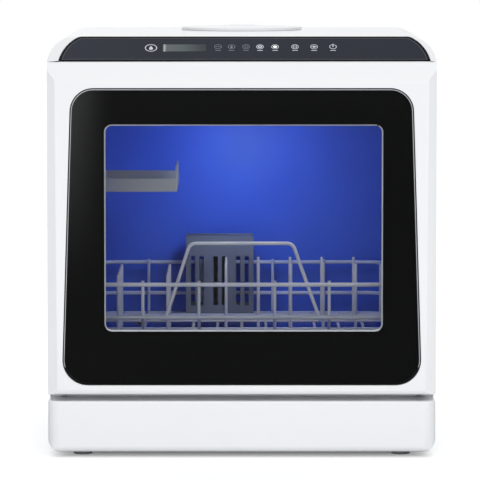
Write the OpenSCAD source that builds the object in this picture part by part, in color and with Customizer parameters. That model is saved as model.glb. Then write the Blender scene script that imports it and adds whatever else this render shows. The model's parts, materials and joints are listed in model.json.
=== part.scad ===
/* [Body] */
// Width over both side panels
body_w = 430; // [415:1:450]
// Depth from the door's front face to the rear panel
body_d = 435; // [430:1:460]
// Height of the flat top above the table
top_z = 465; // [460:1:490]
// Radius of the two shoulders, seen from the front
shoulder_r = 30; // [24:1:34]
// Thickness of the moulded walls
wall = 2.5; // [2:0.1:2.8]
// Thickness of the sheet-metal side and rear panels
sheet = 2; // [1.5:0.1:2.4]

/* [Base] */
// Height of the plinth's top above the table
base_top = 63; // [58:1:68]
// Height of the dark gap between the plinth and the door
groove_h = 7; // [6:0.5:9]
// Radius of the plinth's bottom edges at its front and back
base_edge_r = 8; // [6:1:14]
// Radius of the plinth's bottom edges at its sides
base_side_r = 15; // [8:1:16]
// Radius of the plinth's upright corners
base_corner_r = 14; // [8:1:18]
// Height of the feet
foot_h = 6; // [5:0.5:8]
// Radius of the feet
foot_r = 10.5; // [8:0.5:14]
// Distance of the feet from the plinth's sides
foot_in_x = 37.5; // [30:0.5:50]
// Distance of the feet from the plinth's front and back
foot_in_y = 38; // [30:1:50]

/* [Door] */
// Thickness of the door from its front face to its inner face
door_t = 42; // [40:1:46]
// Width of the bevel along the door's sides
side_bevel_w = 11; // [8:0.5:13]
// Depth of the bevel along the door's sides
side_bevel_d = 8; // [5:0.5:9]
// Height of the bevel along the door's top
top_bevel_h = 20; // [14:1:24]
// Depth of the bevel along the door's top
top_bevel_d = 12; // [8:0.5:13]
// Height and depth of the bevel along the door's bottom
foot_bevel = 7; // [5:0.5:8]
// Gap between the door's top and the lip of the top cover
door_top_gap = 2; // [1.5:0.1:3]
// Distance of the hinge axis behind the door's front face
hinge_in = 16.5; // [15:0.5:17.5]
// Height of the hinge axis above the door's bottom
hinge_up = 12; // [11.5:0.5:14]
// Radius of the hinge pins
hinge_pin_r = 3; // [2:0.1:3.5]

/* [Door glass] */
// Thickness of the door's outer glass
glass_t = 4; // [3:0.1:4.5]
// Width of the glass along its bottom edge
glass_low_w = 396; // [380:1:400]
// Width of the glass along its top edge
glass_high_w = 375; // [360:1:390]
// Distance of the glass above the door's bottom
glass_up = 12; // [10:1:20]
// Height of the glass
glass_h = 326.5; // [320:0.5:332]
// Corner radius of the glass at the bottom
glass_low_r = 28; // [15:1:34]
// Corner radius of the glass at the top
glass_high_r = 24; // [15:1:30]
// Width of the clear window
window_w = 304.5; // [280:0.5:320]
// Height of the clear window
window_h = 226; // [200:1:234]
// Distance of the window above the glass's lower edge
window_up = 60; // [58:1:64]
// Corner radius of the window
window_r = 7; // [3:1:12]
// Width of the bright trim around the window
trim_w = 1.6; // [1:0.1:3]

/* [Control band] */
// Depth of the sloped band, seen from above
band_run = 36; // [30:1:40]
// Rise of the sloped band, seen from the front
band_rise = 26; // [22:1:28]
// Distance of the band's lower edge behind the door's front face
band_back = 14; // [13.5:0.5:16]
// Half the width of the band's glass
band_half = 205; // [190:1:206]
// Distance of the band's middle to the right of the machine's middle
band_shift = 3; // [0:0.5:4]
// Radius of the arcs that end the band's glass, seen from the front
band_end_r = 36; // [34:1:45]
// Thickness of the band's glass
band_t = 2; // [1.5:0.1:2.2]

/* [Tub] */
// Gap between the tub and each side of the body
side_space = 27; // [25:1:30]
// Depth kept behind the tub for the tank, the fan and the hoses
rear_space = 71.5; // [70:0.5:75]
// Height kept above the tub's ceiling
roof_space = 45; // [44:1:50]
// Height of the tub's floor above the plinth
floor_rise = 35; // [33:1:38]
// Thickness of the tub's walls
tub_wall = 2; // [1.5:0.1:2.5]
// Corner radius of the tub, seen from the front
tub_r = 18; // [10:1:24]
// Thickness of the seal between the door and the tub
seal_t = 5; // [4:0.5:6]
// Width of the seal
seal_w = 6; // [5:0.5:6.5]

/* [Rack] */
// Radius of the rack's rail wires
rail_r = 2.4; // [2:0.1:2.8]
// Radius of the rack's floor wires
wire_r = 1.8; // [1.4:0.1:2]
// Radius of the plate tines
tine_r = 1.7; // [1.2:0.1:2]
// Height of the lower rail above the tub's floor
rail_low_up = 52; // [48:1:56]
// Height of the upper rail above the tub's floor
rail_high_up = 89; // [80:1:100]
// Height of the wire handle above the tub's floor
handle_up = 135; // [125:1:150]
// Height of the plate tines above the rack's floor
tine_h = 72; // [50:1:90]
// Gap between two plates on the right side
plate_pitch = 37; // [30:1:38]

/* [Cup shelf and cutlery] */
// Width of the cup shelf, from its hinge to its free edge
shelf_w = 99; // [90:1:102]
// Depth of the cup shelf, front to back
shelf_d = 148; // [130:1:160]
// Height of the cup shelf's hinge above the tub's floor
shelf_up = 192; // [186:1:200]
// Height of the shelf's front lip
shelf_lip = 13; // [8:1:15]
// Width of the cutlery basket
basket_w = 80; // [60:1:84]
// Depth of the cutlery basket
basket_d = 42; // [36:1:44]
// Height of the cutlery basket
basket_h = 94; // [80:1:110]

/* [Filling] */
// Radius of the filling lid
lid_r = 71; // [66:1:74]
// Height of the lid above the top
lid_h = 3.5; // [3:0.1:5]
// Distance of the lid's centre from the rear panel
lid_in = 104; // [98:1:108]
// Width of the lid's rim that rests on the top
lid_rim = 4; // [3:0.5:6]
// Depth of the funnel under the top
funnel_h = 31; // [26:1:32]

/* [Spray arms] */
// Length of the lower spray arm, end to end
arm_low_len = 300; // [240:1:310]
// Length of the upper spray arm, end to end
arm_high_len = 240; // [200:1:250]
// Width of both arms
arm_w = 30; // [24:1:36]
// Thickness of both arms
arm_t = 8; // [6:0.5:8.5]
// Radius of the spindles that the arms turn on
spindle_r = 8; // [6:0.5:9]

/* [Connections] */
// Radius of the water inlet's threaded stub
inlet_r = 13.2; // [10:0.1:14]
// Length of the water inlet's stub
inlet_len = 14; // [10:1:16]
// Radius of the drain spigot
spigot_r = 8.5; // [6:0.5:10]
// Length of the drain spigot
spigot_len = 20; // [15:1:22]
// Radius of the power cord's hole in its gland
gland_bore_r = 4.2; // [3:0.1:5]

/* [Clearances] */
// Radial clearance of a shaft that turns in a bore
run_fit = 0.05; // [0.02:0.01:0.1]
// Gap between pieces that move past each other
slide_gap = 0.3; // [0.3:0.1:0.6]
// Gap around a piece set into a recess
set_gap = 0.3; // [0.2:0.05:0.5]

/* [Hidden] */
$fn = 64;
// A cutter runs this far past the faces that it goes through
past = 1;

half_w = body_w / 2;
front_y = -body_d / 2;
back_y = body_d / 2;
shoulder_z = top_z - shoulder_r;

// Sloped band across the front of the top cover
band_y0 = front_y + band_back;
band_y1 = band_y0 + band_run;
band_z0 = top_z - band_rise;
band_lip = 1;
lip_z = band_z0 - band_lip;
band_angle = atan2(band_rise, band_run);
band_len = norm([band_run, band_rise]);
band_arc_drop = 8;
band_arc_x = band_half - sqrt(band_end_r * band_end_r - band_arc_drop * band_arc_drop);
cover_wall = wall;
display_x0 = -88;
display_x1 = -38;
display_v0 = 15.5;
display_v1 = 32;

// Door
door_z0 = base_top + groove_h;
door_z1 = lip_z - door_top_gap;
door_lip_z = lip_z - 0.2;
door_lip_y = band_y0 - 0.4;
door_in_y = front_y + door_t;
door_wall = 3;
hinge_y = front_y + hinge_in;
hinge_z = door_z0 + hinge_up;
hinge_x = half_w - 17;
bracket_t = 5;
bracket_gap = 1.2;
bracket_r = 6.5;
cheek_t = 6;
panel_t = 2;

// Glass, mask, trim and window
glass_z0 = door_z0 + glass_up;
glass_z1 = glass_z0 + glass_h;
glass_set = 0.3;
mask_t = 0.6;
glass_y = front_y + glass_set;
mask_y = glass_y + glass_t;
web_y = mask_y + mask_t;
web_t = 3;
window_x = 2;
window_z0 = glass_z0 + window_up;
window_z1 = window_z0 + window_h;
window_margin = 6;
liner_t = 2;
inner_glass_t = 3;
inner_glass_lap = 2.5;
inner_glass_y = door_in_y - panel_t - inner_glass_t;

// Tub
tub_half = half_w - side_space;
tub_front_y = door_in_y + seal_t;
tub_back_y = back_y - rear_space;
tub_floor_z = base_top + floor_rise;
tub_ceil_z = top_z - roof_space;
flange_z0 = tub_floor_z - 9.5;
flange_z1 = tub_ceil_z + 17;
side_y0 = door_in_y + 2.5;

// Latch
latch_z = tub_ceil_z + 9.5;
latch_half = 6;
latch_t = 5;
latch_len = 14;
latch_room = 3;

// Detergent cup on the door
cup_half = 32;
cup_z0 = tub_floor_z + 6;
cup_h = 27;
cup_depth = 26;
cup_rim = 5;
cup_flange_t = 1.5;
cup_cover_t = 1.8;
cup_travel = 62;

// Plumbing under the tub
floor_z = foot_h + wall;
sump_x = half_w - 125;
sump_y = -70;
sump_r = 45;
sump_z0 = floor_z + 3.5;
filter_r = 38;
spin_y = -12;
pump_y = 45;
pump_z = 48;
pump_r = 30;
pump_half = 16;
motor_r = 26;
motor_len = 68;
hose_r = 8;
hose_t = 1.5;
drain_z = 31;
drain_r = 20;
drain_y1 = back_y - 47.5;
drain_shaft_r = 2.5;
wash_shaft_r = 3;
tank_hose_z = pump_z + 26;
tank_out_x = sump_x - 30;
pipe_r = 5;
pipe_t = 1;
pipe_x = half_w - 50;
pipe_y = tub_back_y + 10;
pipe_z = tub_ceil_z + 8.5;
arm_low_z = tub_floor_z + 11;
arm_high_z = tub_ceil_z - 28;
arm_cap_r = 13;
arm_cap_t = 3;
heater_ring_r = 58;
heater_r = 4;
heater_lift = 1.2;

// Tank, funnel and lid
tank_x0 = -half_w + 40;
tank_x1 = half_w - 65;
tank_y0 = tub_back_y + 6;
tank_y1 = back_y - 11.5;
tank_z0 = tub_floor_z + 52;
tank_z1 = tub_ceil_z + 3;
tank_wall = 2;
tank_mid_y = (tank_y0 + tank_y1) / 2;
lid_y = back_y - lid_in;
lid_hole_r = lid_r - lid_rim;
lid_plug_r = lid_hole_r - 3;
lid_plug_h = 6;
lid_pin_r = 1.5;
lid_pin_y = lid_y + lid_r + 3;
lid_pin_z = top_z + 1.2;
lid_ear_half = 15;
lid_ear_r = 2.9;
spout_y = tank_y0 + 16;
spout_r = 10;

// Rack
rack_half = tub_half - 20;
rack_y0 = door_in_y + 18.5;
rack_y1 = tub_back_y - 14;
rack_floor_y0 = rack_y0 + 20;
rack_z = tub_floor_z + 28;
rail_low_z = tub_floor_z + rail_low_up;
rail_high_z = tub_floor_z + rail_high_up;
rack_corner_r = 18;
post_x = [-111, -48, 37, 98];
tine_rows = [-80, 10, 75];
runner_z = tub_floor_z + 23;
runner_t = 3;
runner_w = 12;
glide_l = 30;

// Cup shelf
shelf_x = -tub_half + 16;
shelf_z = tub_floor_z + shelf_up;
shelf_y0 = -112;
shelf_pin_r = 2.5;
shelf_barrel_r = 3.6;

// Fan
fan_x = -half_w + 95;
fan_z = tub_floor_z + 8;
fan_y0 = tub_back_y + 12;
fan_len = 28;
fan_r = 32;
fan_wall = 3;
fan_shaft_r = 2;

// Rear connections
screw_r = 1.5;
screw_len = 8;
pocket_x0 = half_w - 127;
pocket_x1 = half_w - 25;
pocket_z0 = base_top + 9;
pocket_z1 = pocket_z0 + 68;
pocket_depth = 25;
pocket_y = back_y - pocket_depth;
inlet_x = half_w - 100;
inlet_z = tub_floor_z + 8;
spigot_x = half_w - 50;
spigot_z = tub_floor_z - 8;
collar_t = 1.5;
inlet_collar_r = inlet_r + 2.5;
spigot_collar_r = spigot_r + 2.2;
gland_x = -half_w + 30;
gland_z = base_top + 24;

// A box between two values along each axis
module span(x, y, z) {
    translate([x[0], y[0], z[0]])
        cube([x[1] - x[0], y[1] - y[0], z[1] - z[0]]);
}

// An outline drawn in X and Z, extruded along Y
module prism_y(y0, y1) {
    translate([0, y1, 0])
        rotate([90, 0, 0])
            linear_extrude(y1 - y0)
                children();
}

// An outline drawn in Y and Z, extruded along X
module prism_x(x0, x1) {
    translate([x0, 0, 0])
        rotate([90, 0, 90])
            linear_extrude(x1 - x0)
                children();
}

// An outline drawn in X and Y, extruded along Z
module prism_z(z0, z1) {
    translate([0, 0, z0])
        linear_extrude(z1 - z0)
            children();
}

function unit(v) = v / norm(v);
function before(p, i) = p[(i + len(p) - 1) % len(p)];
function after(p, i) = p[(i + 1) % len(p)];
function half_angle(p, i) = acos(unit(before(p, i) - p[i]) * unit(after(p, i) - p[i])) / 2;
// The point at distance r from both edges that meet at corner i of a convex outline
function inner_point(p, i, r) = let (
        u = unit(before(p, i) - p[i]),
        v = unit(after(p, i) - p[i])
    ) p[i] + unit(u + v) * r / sin(half_angle(p, i));
// The two points where a round of radius r leaves the edges at corner i
function round_ends(p, i, r) = let (
        reach = r / tan(half_angle(p, i))
    ) [
        p[i] + unit(before(p, i) - p[i]) * reach,
        p[i] + unit(after(p, i) - p[i]) * reach
    ];
function inset(p, t) = [for (i = [0 : len(p) - 1]) inner_point(p, i, t)];

// A convex outline with a true round of its own radius at each corner
module outline(p, r) {
    polygon([for (i = [0 : len(p) - 1]) each (r[i] > 0 ? round_ends(p, i, r[i]) : [p[i]])]);
    for (i = [0 : len(p) - 1])
        if (r[i] > 0)
            translate(inner_point(p, i, r[i]))
                circle(r = r[i]);
}

// A rectangle's corners, counter-clockwise from the lowest
function corners(x0, x1, y0, y1) = [[x0, y0], [x1, y0], [x1, y1], [x0, y1]];

module round_box(x0, x1, y0, y1, r) {
    outline(corners(x0, x1, y0, y1), [r, r, r, r]);
}

// A round bar between two points
module rod(a, b, r) {
    v = b - a;
    translate(a)
        rotate([0, acos(v[2] / norm(v)), atan2(v[1], v[0])])
            cylinder(r = r, h = norm(v));
}

// A bar that follows a list of points, round at its bends
module run(points, r) {
    for (i = [1 : len(points) - 1])
        rod(points[i - 1], points[i], r);
    for (i = [1 : len(points) - 2])
        translate(points[i])
            sphere(r = r);
}

// A hollow hose along a list of points
module hose(points, r, t) {
    difference() {
        run(points, r);
        run(points, r - t);
    }
}

// A closed wire loop with rounded corners, at height z
module wire_ring(half, y0, y1, z, corner, r) {
    xi = half - corner;
    ya = y0 + corner;
    yb = y1 - corner;
    for (y = [y0, y1])
        rod([-xi, y, z], [xi, y, z], r);
    for (x = [-half, half])
        rod([x, ya, z], [x, yb, z], r);
    for (c = [[xi, yb, 0], [-xi, yb, 90], [-xi, ya, 180], [xi, ya, 270]])
        translate([c[0], c[1], z])
            rotate([0, 0, c[2]])
                rotate_extrude(angle = 90)
                    translate([corner, 0])
                        circle(r = r);
}

module both_sides() {
    children();
    mirror([1, 0, 0])
        children();
}

// Plinth, drawn inwards by t
module plinth_block(t, z1) {
    low = foot_h + t;
    edge = base_edge_r - t;
    side = base_side_r - t;
    corner = base_corner_r - t;
    intersection() {
        prism_y(front_y + t, back_y - t)
            outline(corners(-half_w + t, half_w - t, low, z1), [side, side, 0, 0]);
        prism_x(-half_w, half_w)
            outline(corners(front_y + t, back_y - t, low, z1), [edge, edge, 0, 0]);
        prism_z(low, z1)
            round_box(-half_w + t, half_w - t, front_y + t, back_y - t, corner);
    }
}

module base_tray() {
    deck_y1 = tub_front_y + 3;
    sill_half = tub_half + 2;
    color("white") {
        difference() {
            plinth_block(0, base_top);
            difference() {
                plinth_block(wall, base_top + past);
                span([-half_w, half_w], [front_y, deck_y1], [base_top - wall, base_top + 2 * past]);
            }
            both_sides()
                span([hinge_x - 6, hinge_x + 6], [deck_y1 - 6, deck_y1 + past],
                    [base_top - wall - past, base_top + past]);
        }
        span([-sill_half, sill_half], [deck_y1 - wall, deck_y1], [base_top, flange_z0 - 1]);
    }
}

module feet() {
    color("dimgray")
        both_sides()
            for (y = [front_y + foot_in_y, back_y - foot_in_y])
                translate([half_w - foot_in_x, y, 0])
                    cylinder(r = foot_r, h = foot_h);
}

module side_panel() {
    hem = 12;
    color("white") {
        span([half_w - sheet, half_w], [side_y0, back_y], [base_top, shoulder_z]);
        difference() {
            span([half_w - sheet - hem, half_w - sheet], [back_y - 2 * sheet, back_y - sheet],
                [base_top, shoulder_z]);
            screw_places()
                cylinder(r = screw_r, h = screw_len);
        }
    }
}

module side_panel_left() {
    mirror([1, 0, 0])
        side_panel();
}

module side_panel_right() {
    side_panel();
}

module rear_panel() {
    edge = half_w - sheet;
    slot_w = 4;
    color("gainsboro") {
        difference() {
            span([-edge, edge], [back_y - sheet, back_y], [base_top, shoulder_z]);
            span([pocket_x0, pocket_x1], [back_y - sheet - past, back_y + past], [pocket_z0, pocket_z1]);
            for (i = [-3 : 3])
                span([fan_x + i * 8 - slot_w / 2, fan_x + i * 8 + slot_w / 2],
                    [back_y - sheet - past, back_y + past], [fan_z - 20, fan_z + 20]);
            rod([gland_x, back_y - sheet - past, gland_z], [gland_x, back_y + past, gland_z], 9);
            screw_places()
                screw();
        }
        difference() {
            span([pocket_x0 - sheet, pocket_x1 + sheet], [pocket_y - sheet, back_y - sheet],
                [pocket_z0 - sheet, pocket_z1 + sheet]);
            span([pocket_x0, pocket_x1], [pocket_y, back_y], [pocket_z0, pocket_z1]);
            rod([inlet_x, pocket_y - sheet - past, inlet_z], [inlet_x, pocket_y + past, inlet_z],
                inlet_collar_r + set_gap);
            rod([spigot_x, pocket_y - sheet - past, spigot_z], [spigot_x, pocket_y + past, spigot_z],
                spigot_collar_r + set_gap);
        }
    }
}

// Places of the screws that hold the rear panel to the hems of the side panels
module screw_places() {
    screw_in = sheet + 6;
    both_sides()
        for (z = [base_top + 20 : 115 : shoulder_z - 15])
            translate([half_w - screw_in, back_y, z])
                rotate([90, 0, 0])
                    children();
}

module screw() {
    cylinder(r1 = screw_r + sheet, r2 = screw_r, h = sheet);
    cylinder(r = screw_r, h = screw_len);
}

module rear_screws() {
    color("silver")
        screw_places()
            screw();
}

// Side outline of the top cover, in Y and Z
function cover_side() = [
    [band_y0, shoulder_z],
    [back_y, shoulder_z],
    [back_y, top_z],
    [band_y1, top_z],
    [band_y0, band_z0]
];

module cover_block(t, drop) {
    side = inset(cover_side(), t);
    back_r = 8 - t;
    intersection() {
        prism_x(-half_w + t, half_w - t)
            outline([
                [side[0][0], side[0][1] - drop],
                [side[1][0], side[1][1] - drop],
                side[2], side[3], side[4]
            ], [0, 0, back_r, 0, 0]);
        prism_y(front_y, back_y)
            outline(corners(-half_w + t, half_w - t, shoulder_z - past - drop, top_z - t),
                [0, 0, shoulder_r - t, shoulder_r - t]);
    }
}

// Moves what is drawn flat onto the band: X stays, Y runs up the slope, Z leaves its face
module on_band() {
    translate([0, band_y0, band_z0])
        rotate([band_angle, 0, 0])
            children();
}

module band_slab(t0, t1, grow) {
    intersection() {
        on_band()
            span([-half_w, half_w], [-5, band_len + 5], [-t1, -t0]);
        translate([band_shift, 0, 0])
            union() {
                span([-band_arc_x, band_arc_x], [front_y, back_y], [shoulder_z, top_z + past]);
                both_sides()
                    rod([band_arc_x, front_y, band_z0 - band_arc_drop],
                        [band_arc_x, back_y, band_z0 - band_arc_drop], band_end_r + grow);
            }
        span([-half_w, half_w], [front_y, back_y], [band_z0 - grow, top_z + grow]);
    }
}

module top_cover() {
    color("white") {
        difference() {
            cover_block(0, 0);
            difference() {
                cover_block(cover_wall, 4 * cover_wall);
                on_band()
                    span([-half_w, half_w], [-10, band_len + 10], [-band_t - cover_wall, 10]);
            }
            band_slab(0, band_t, set_gap);
            on_band()
                span([display_x0 - set_gap, display_x1 + set_gap],
                    [display_v0 - set_gap, display_v1 + set_gap], [-20, past]);
            span([-half_w - past, half_w + past], [front_y, side_y0], [shoulder_z - past, lip_z]);
            translate([0, lid_y, top_z - 20])
                cylinder(r = lid_hole_r, h = 20 + past);
            span([-lid_ear_half - 1, lid_ear_half + 1], [lid_pin_y - 5, lid_pin_y + 4],
                [top_z - cover_wall - past, top_z + past]);
            rod([-lid_ear_half - 6, lid_pin_y, lid_pin_z], [lid_ear_half + 6, lid_pin_y, lid_pin_z],
                lid_pin_r);
        }
        both_sides()
            difference() {
                span([lid_ear_half + 1, lid_ear_half + 6], [lid_pin_y - 3, lid_pin_y + 3],
                    [top_z - cover_wall, lid_pin_z + 2.5]);
                rod([0, lid_pin_y, lid_pin_z], [half_w, lid_pin_y, lid_pin_z], lid_pin_r);
            }
    }
}

module control_glass() {
    color("#181b22")
        band_slab(0, band_t, 0);
}

module display_module() {
    color("#4a5357")
        on_band()
            span([display_x0, display_x1], [display_v0, display_v1], [-band_t - 7, -band_t]);
}

module control_board() {
    color("darkgreen")
        on_band() {
            span([-105, 120], [13.5, 37], [-band_t - 9, -band_t - 7]);
            for (i = [0 : 7])
                translate([-27 + i * 18, 24.5, -band_t - 7])
                    cylinder(r = 5, h = 7 - cover_wall - 0.1);
        }
}

module fill_funnel() {
    low = top_z - cover_wall - funnel_h;
    color("white")
        difference() {
            union() {
                translate([0, lid_y, low])
                    cylinder(r = lid_hole_r + wall, h = funnel_h);
                translate([0, spout_y, tank_z1 - 8])
                    cylinder(r = spout_r, h = low - tank_z1 + 8 + past);
            }
            translate([0, lid_y, low + wall])
                cylinder(r = lid_hole_r, h = funnel_h);
            translate([0, spout_y, tank_z1 - 10])
                cylinder(r = spout_r - 2, h = funnel_h);
        }
}

module water_tank() {
    color("lightsteelblue")
        difference() {
            union() {
                span([tank_x0, tank_x1], [tank_y0, tank_y1], [tank_z0, tank_z1]);
                translate([tank_out_x, tank_mid_y, tank_z0 - 6])
                    cylinder(r = hose_r, h = 7);
                translate([inlet_x, tank_mid_y, tank_z0 - 6])
                    cylinder(r = hose_r, h = 7);
            }
            span([tank_x0 + tank_wall, tank_x1 - tank_wall],
                [tank_y0 + tank_wall, tank_y1 - tank_wall],
                [tank_z0 + tank_wall, tank_z1 - tank_wall]);
            translate([0, spout_y, tank_z1 - 5])
                cylinder(r = spout_r + set_gap, h = 10);
            for (x = [tank_out_x, inlet_x])
                translate([x, tank_mid_y, tank_z0 - 10])
                    cylinder(r = hose_r - hose_t, h = 20);
        }
}

// Opening of the tub, seen from the front, grown outwards by t
module tub_shape(t) {
    round_box(-tub_half - t, tub_half + t, tub_floor_z - t, tub_ceil_z + t, tub_r + t);
}

module tub() {
    flange_half = half_w - sheet - 0.5;
    color("#2c4fc8")
        difference() {
            union() {
                prism_y(tub_front_y, tub_back_y + tub_wall)
                    tub_shape(tub_wall);
                span([-flange_half, flange_half], [tub_front_y, tub_front_y + tub_wall],
                    [flange_z0, flange_z1]);
            }
            prism_y(tub_front_y - past, tub_back_y)
                tub_shape(0);
            translate([sump_x, sump_y, tub_floor_z - 10])
                cylinder(r = filter_r + 3, h = 15);
            translate([0, spin_y, tub_floor_z - 10])
                cylinder(r = spindle_r, h = 15);
            translate([0, spin_y, tub_ceil_z - 5])
                cylinder(r = spindle_r, h = 15);
            heater_legs(4);
            span([-latch_half - latch_room, latch_half + latch_room],
                [tub_front_y - past, tub_front_y + tub_wall + past],
                [latch_z - latch_t / 2 - latch_room, latch_z + latch_t / 2 + latch_room]);
            rod([fan_x, tub_back_y - past, fan_z + 12], [fan_x, tub_back_y + 5, fan_z + 12], 9);
        }
}

module tub_seal() {
    color("#3a3c40")
        prism_y(door_in_y + slide_gap, tub_front_y)
            difference() {
                tub_shape(seal_w);
                tub_shape(0);
            }
}

module lock_body() {
    y0 = tub_front_y + tub_wall;
    low = tub_ceil_z + tub_wall;
    color("#303236")
        difference() {
            span([-20, 20], [y0, y0 + 26], [low, low + 16]);
            span([-latch_half - latch_room, latch_half + latch_room], [y0 - past, y0 + 22],
                [latch_z - latch_t / 2 - latch_room, latch_z + latch_t / 2 + latch_room]);
        }
}

module hinge_brackets() {
    post_y0 = tub_front_y - 1;
    color("gray")
        both_sides()
            difference() {
                union() {
                    rod([hinge_x - bracket_t / 2, hinge_y, hinge_z],
                        [hinge_x + bracket_t / 2, hinge_y, hinge_z], bracket_r);
                    span([hinge_x - bracket_t / 2, hinge_x + bracket_t / 2],
                        [hinge_y, post_y0 + 16], [hinge_z - 5.5, hinge_z + 5.5]);
                    span([hinge_x - bracket_t / 2, hinge_x + bracket_t / 2],
                        [post_y0, post_y0 + 16], [floor_z, hinge_z]);
                }
                rod([hinge_x - bracket_t, hinge_y, hinge_z], [hinge_x + bracket_t, hinge_y, hinge_z],
                    hinge_pin_r + run_fit);
            }
}

module sump() {
    rim_z = tub_floor_z - tub_wall;
    color("#d8dade")
        difference() {
            union() {
                translate([sump_x, sump_y, sump_z0])
                    cylinder(r = sump_r, h = rim_z - sump_z0);
                translate([sump_x, sump_y, rim_z - 3])
                    cylinder(r = sump_r + 6, h = 3);
                rod([sump_x, sump_y, pump_z], [sump_x, sump_y + sump_r + 4, pump_z], hose_r);
                rod([sump_x, sump_y, drain_z], [sump_x + sump_r + 4, sump_y, drain_z], hose_r);
                rod([tank_out_x, sump_y, tank_hose_z], [tank_out_x, sump_y + sump_r, tank_hose_z], hose_r);
            }
            translate([sump_x, sump_y, sump_z0 + wall])
                cylinder(r = sump_r - wall, h = 200);
            rod([sump_x, sump_y, pump_z], [sump_x, sump_y + sump_r + 10, pump_z], hose_r - hose_t);
            rod([sump_x, sump_y, drain_z], [sump_x + sump_r + 10, sump_y, drain_z], hose_r - hose_t);
            rod([tank_out_x, sump_y, tank_hose_z], [tank_out_x, sump_y + sump_r + 5, tank_hose_z],
                hose_r - hose_t);
        }
}

module wash_pump_hose() {
    color("#3a3c40")
        hose([
            [pump_half + 6, pump_y, pump_z],
            [sump_x, pump_y, pump_z],
            [sump_x, sump_y + sump_r + 4, pump_z]
        ], hose_r, hose_t);
}

module tank_outlet_hose() {
    color("#3a3c40")
        hose([
            [tank_out_x, tank_mid_y, tank_z0 - 6],
            [tank_out_x, tank_mid_y, tank_hose_z],
            [tank_out_x, sump_y + sump_r, tank_hose_z]
        ], hose_r, hose_t);
}

// Body on the pump's axis, between two values along X
module on_pump(x0, x1, r) {
    rod([x0, pump_y, pump_z], [x1, pump_y, pump_z], r);
}

module wash_pump_housing() {
    color("#d8dade")
        difference() {
            union() {
                on_pump(-pump_half, pump_half, pump_r);
                on_pump(pump_half, pump_half + 6, hose_r);
                rod([0, pump_y - pump_r - 3, pump_z], [0, pump_y + pump_r + 3, pump_z], hose_r);
                span([-10, 10], [pump_y - 12, pump_y + 12], [floor_z, pump_z - 20]);
            }
            on_pump(-pump_half + 4, pump_half - 3, pump_r - 4);
            on_pump(pump_half - 5, pump_half + 10, hose_r - hose_t);
            on_pump(-pump_half - past, pump_half - 4, wash_shaft_r + run_fit);
            rod([0, pump_y - pump_r - 5, pump_z], [0, pump_y + pump_r + 5, pump_z], hose_r - hose_t);
        }
}

module wash_pump_motor() {
    x0 = -pump_half - motor_len;
    color("silver")
        difference() {
            union() {
                on_pump(x0, -pump_half, motor_r);
                span([x0 + 14, -pump_half - 14], [pump_y - 18, pump_y + 18], [floor_z, pump_z - 10]);
            }
            on_pump(-pump_half - 30, -pump_half + past, wash_shaft_r + run_fit);
        }
}

module wash_impeller() {
    color("orange") {
        on_pump(-pump_half - 29, -pump_half + 14, wash_shaft_r);
        on_pump(-pump_half + 6, -pump_half + 8.5, pump_r - 9);
        for (a = [0 : 60 : 300])
            translate([-pump_half + 8.5, pump_y, pump_z])
                rotate([a, 0, 0])
                    span([0, 8], [-1, 1], [2, pump_r - 10]);
    }
}

module spray_manifold() {
    outlet_y = pump_y - pump_r - 3;
    cap_z = arm_low_z + arm_t + slide_gap;
    color("#c9ccd2")
        difference() {
            union() {
                rod([0, outlet_y, pump_z], [0, spin_y, pump_z], hose_r);
                translate([0, spin_y, pump_z])
                    sphere(r = hose_r);
                translate([0, spin_y, pump_z])
                    cylinder(r = hose_r, h = tub_floor_z - pump_z);
                translate([0, spin_y, tub_floor_z])
                    cylinder(r = spindle_r, h = cap_z - tub_floor_z);
                translate([0, spin_y, tub_floor_z])
                    cylinder(r = arm_cap_r, h = arm_low_z - tub_floor_z - slide_gap);
                translate([0, spin_y, cap_z])
                    cylinder(r = arm_cap_r, h = arm_cap_t);
            }
            rod([0, outlet_y + past, pump_z], [0, spin_y, pump_z], hose_r - hose_t);
            translate([0, spin_y, pump_z])
                cylinder(r = spindle_r - 2.5, h = cap_z - pump_z);
        }
}

// A spray arm about the spin axis: a flat bar with round ends, a hub bore and nozzles
module spray_arm(z, reach, side) {
    nozzle_step = (reach - arm_w) / 4;
    difference() {
        union() {
            translate([0, spin_y, z])
                span([-reach + arm_w / 2, reach - arm_w / 2], [-arm_w / 2, arm_w / 2], [0, arm_t]);
            for (s = [-1, 1])
                translate([s * (reach - arm_w / 2), spin_y, z])
                    cylinder(r = arm_w / 2, h = arm_t);
            translate([0, spin_y, z])
                cylinder(r = arm_w / 2 + 4, h = arm_t);
        }
        translate([0, spin_y, z - past])
            cylinder(r = spindle_r + run_fit, h = arm_t + 2 * past);
        for (s = [-1, 1])
            for (i = [1 : 4])
                translate([s * (arm_w + (i - 1) * nozzle_step), spin_y + (i % 2) * 6 - 3,
                        z + (side > 0 ? arm_t - 3 : -past)])
                    cylinder(r = 1.4, h = 3 + past);
    }
}

module lower_spray_arm() {
    color("#d9dbe0")
        spray_arm(arm_low_z, arm_low_len / 2, 1);
}

module upper_spray_arm() {
    color("#d9dbe0")
        spray_arm(arm_high_z, arm_high_len / 2, -1);
}

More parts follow.
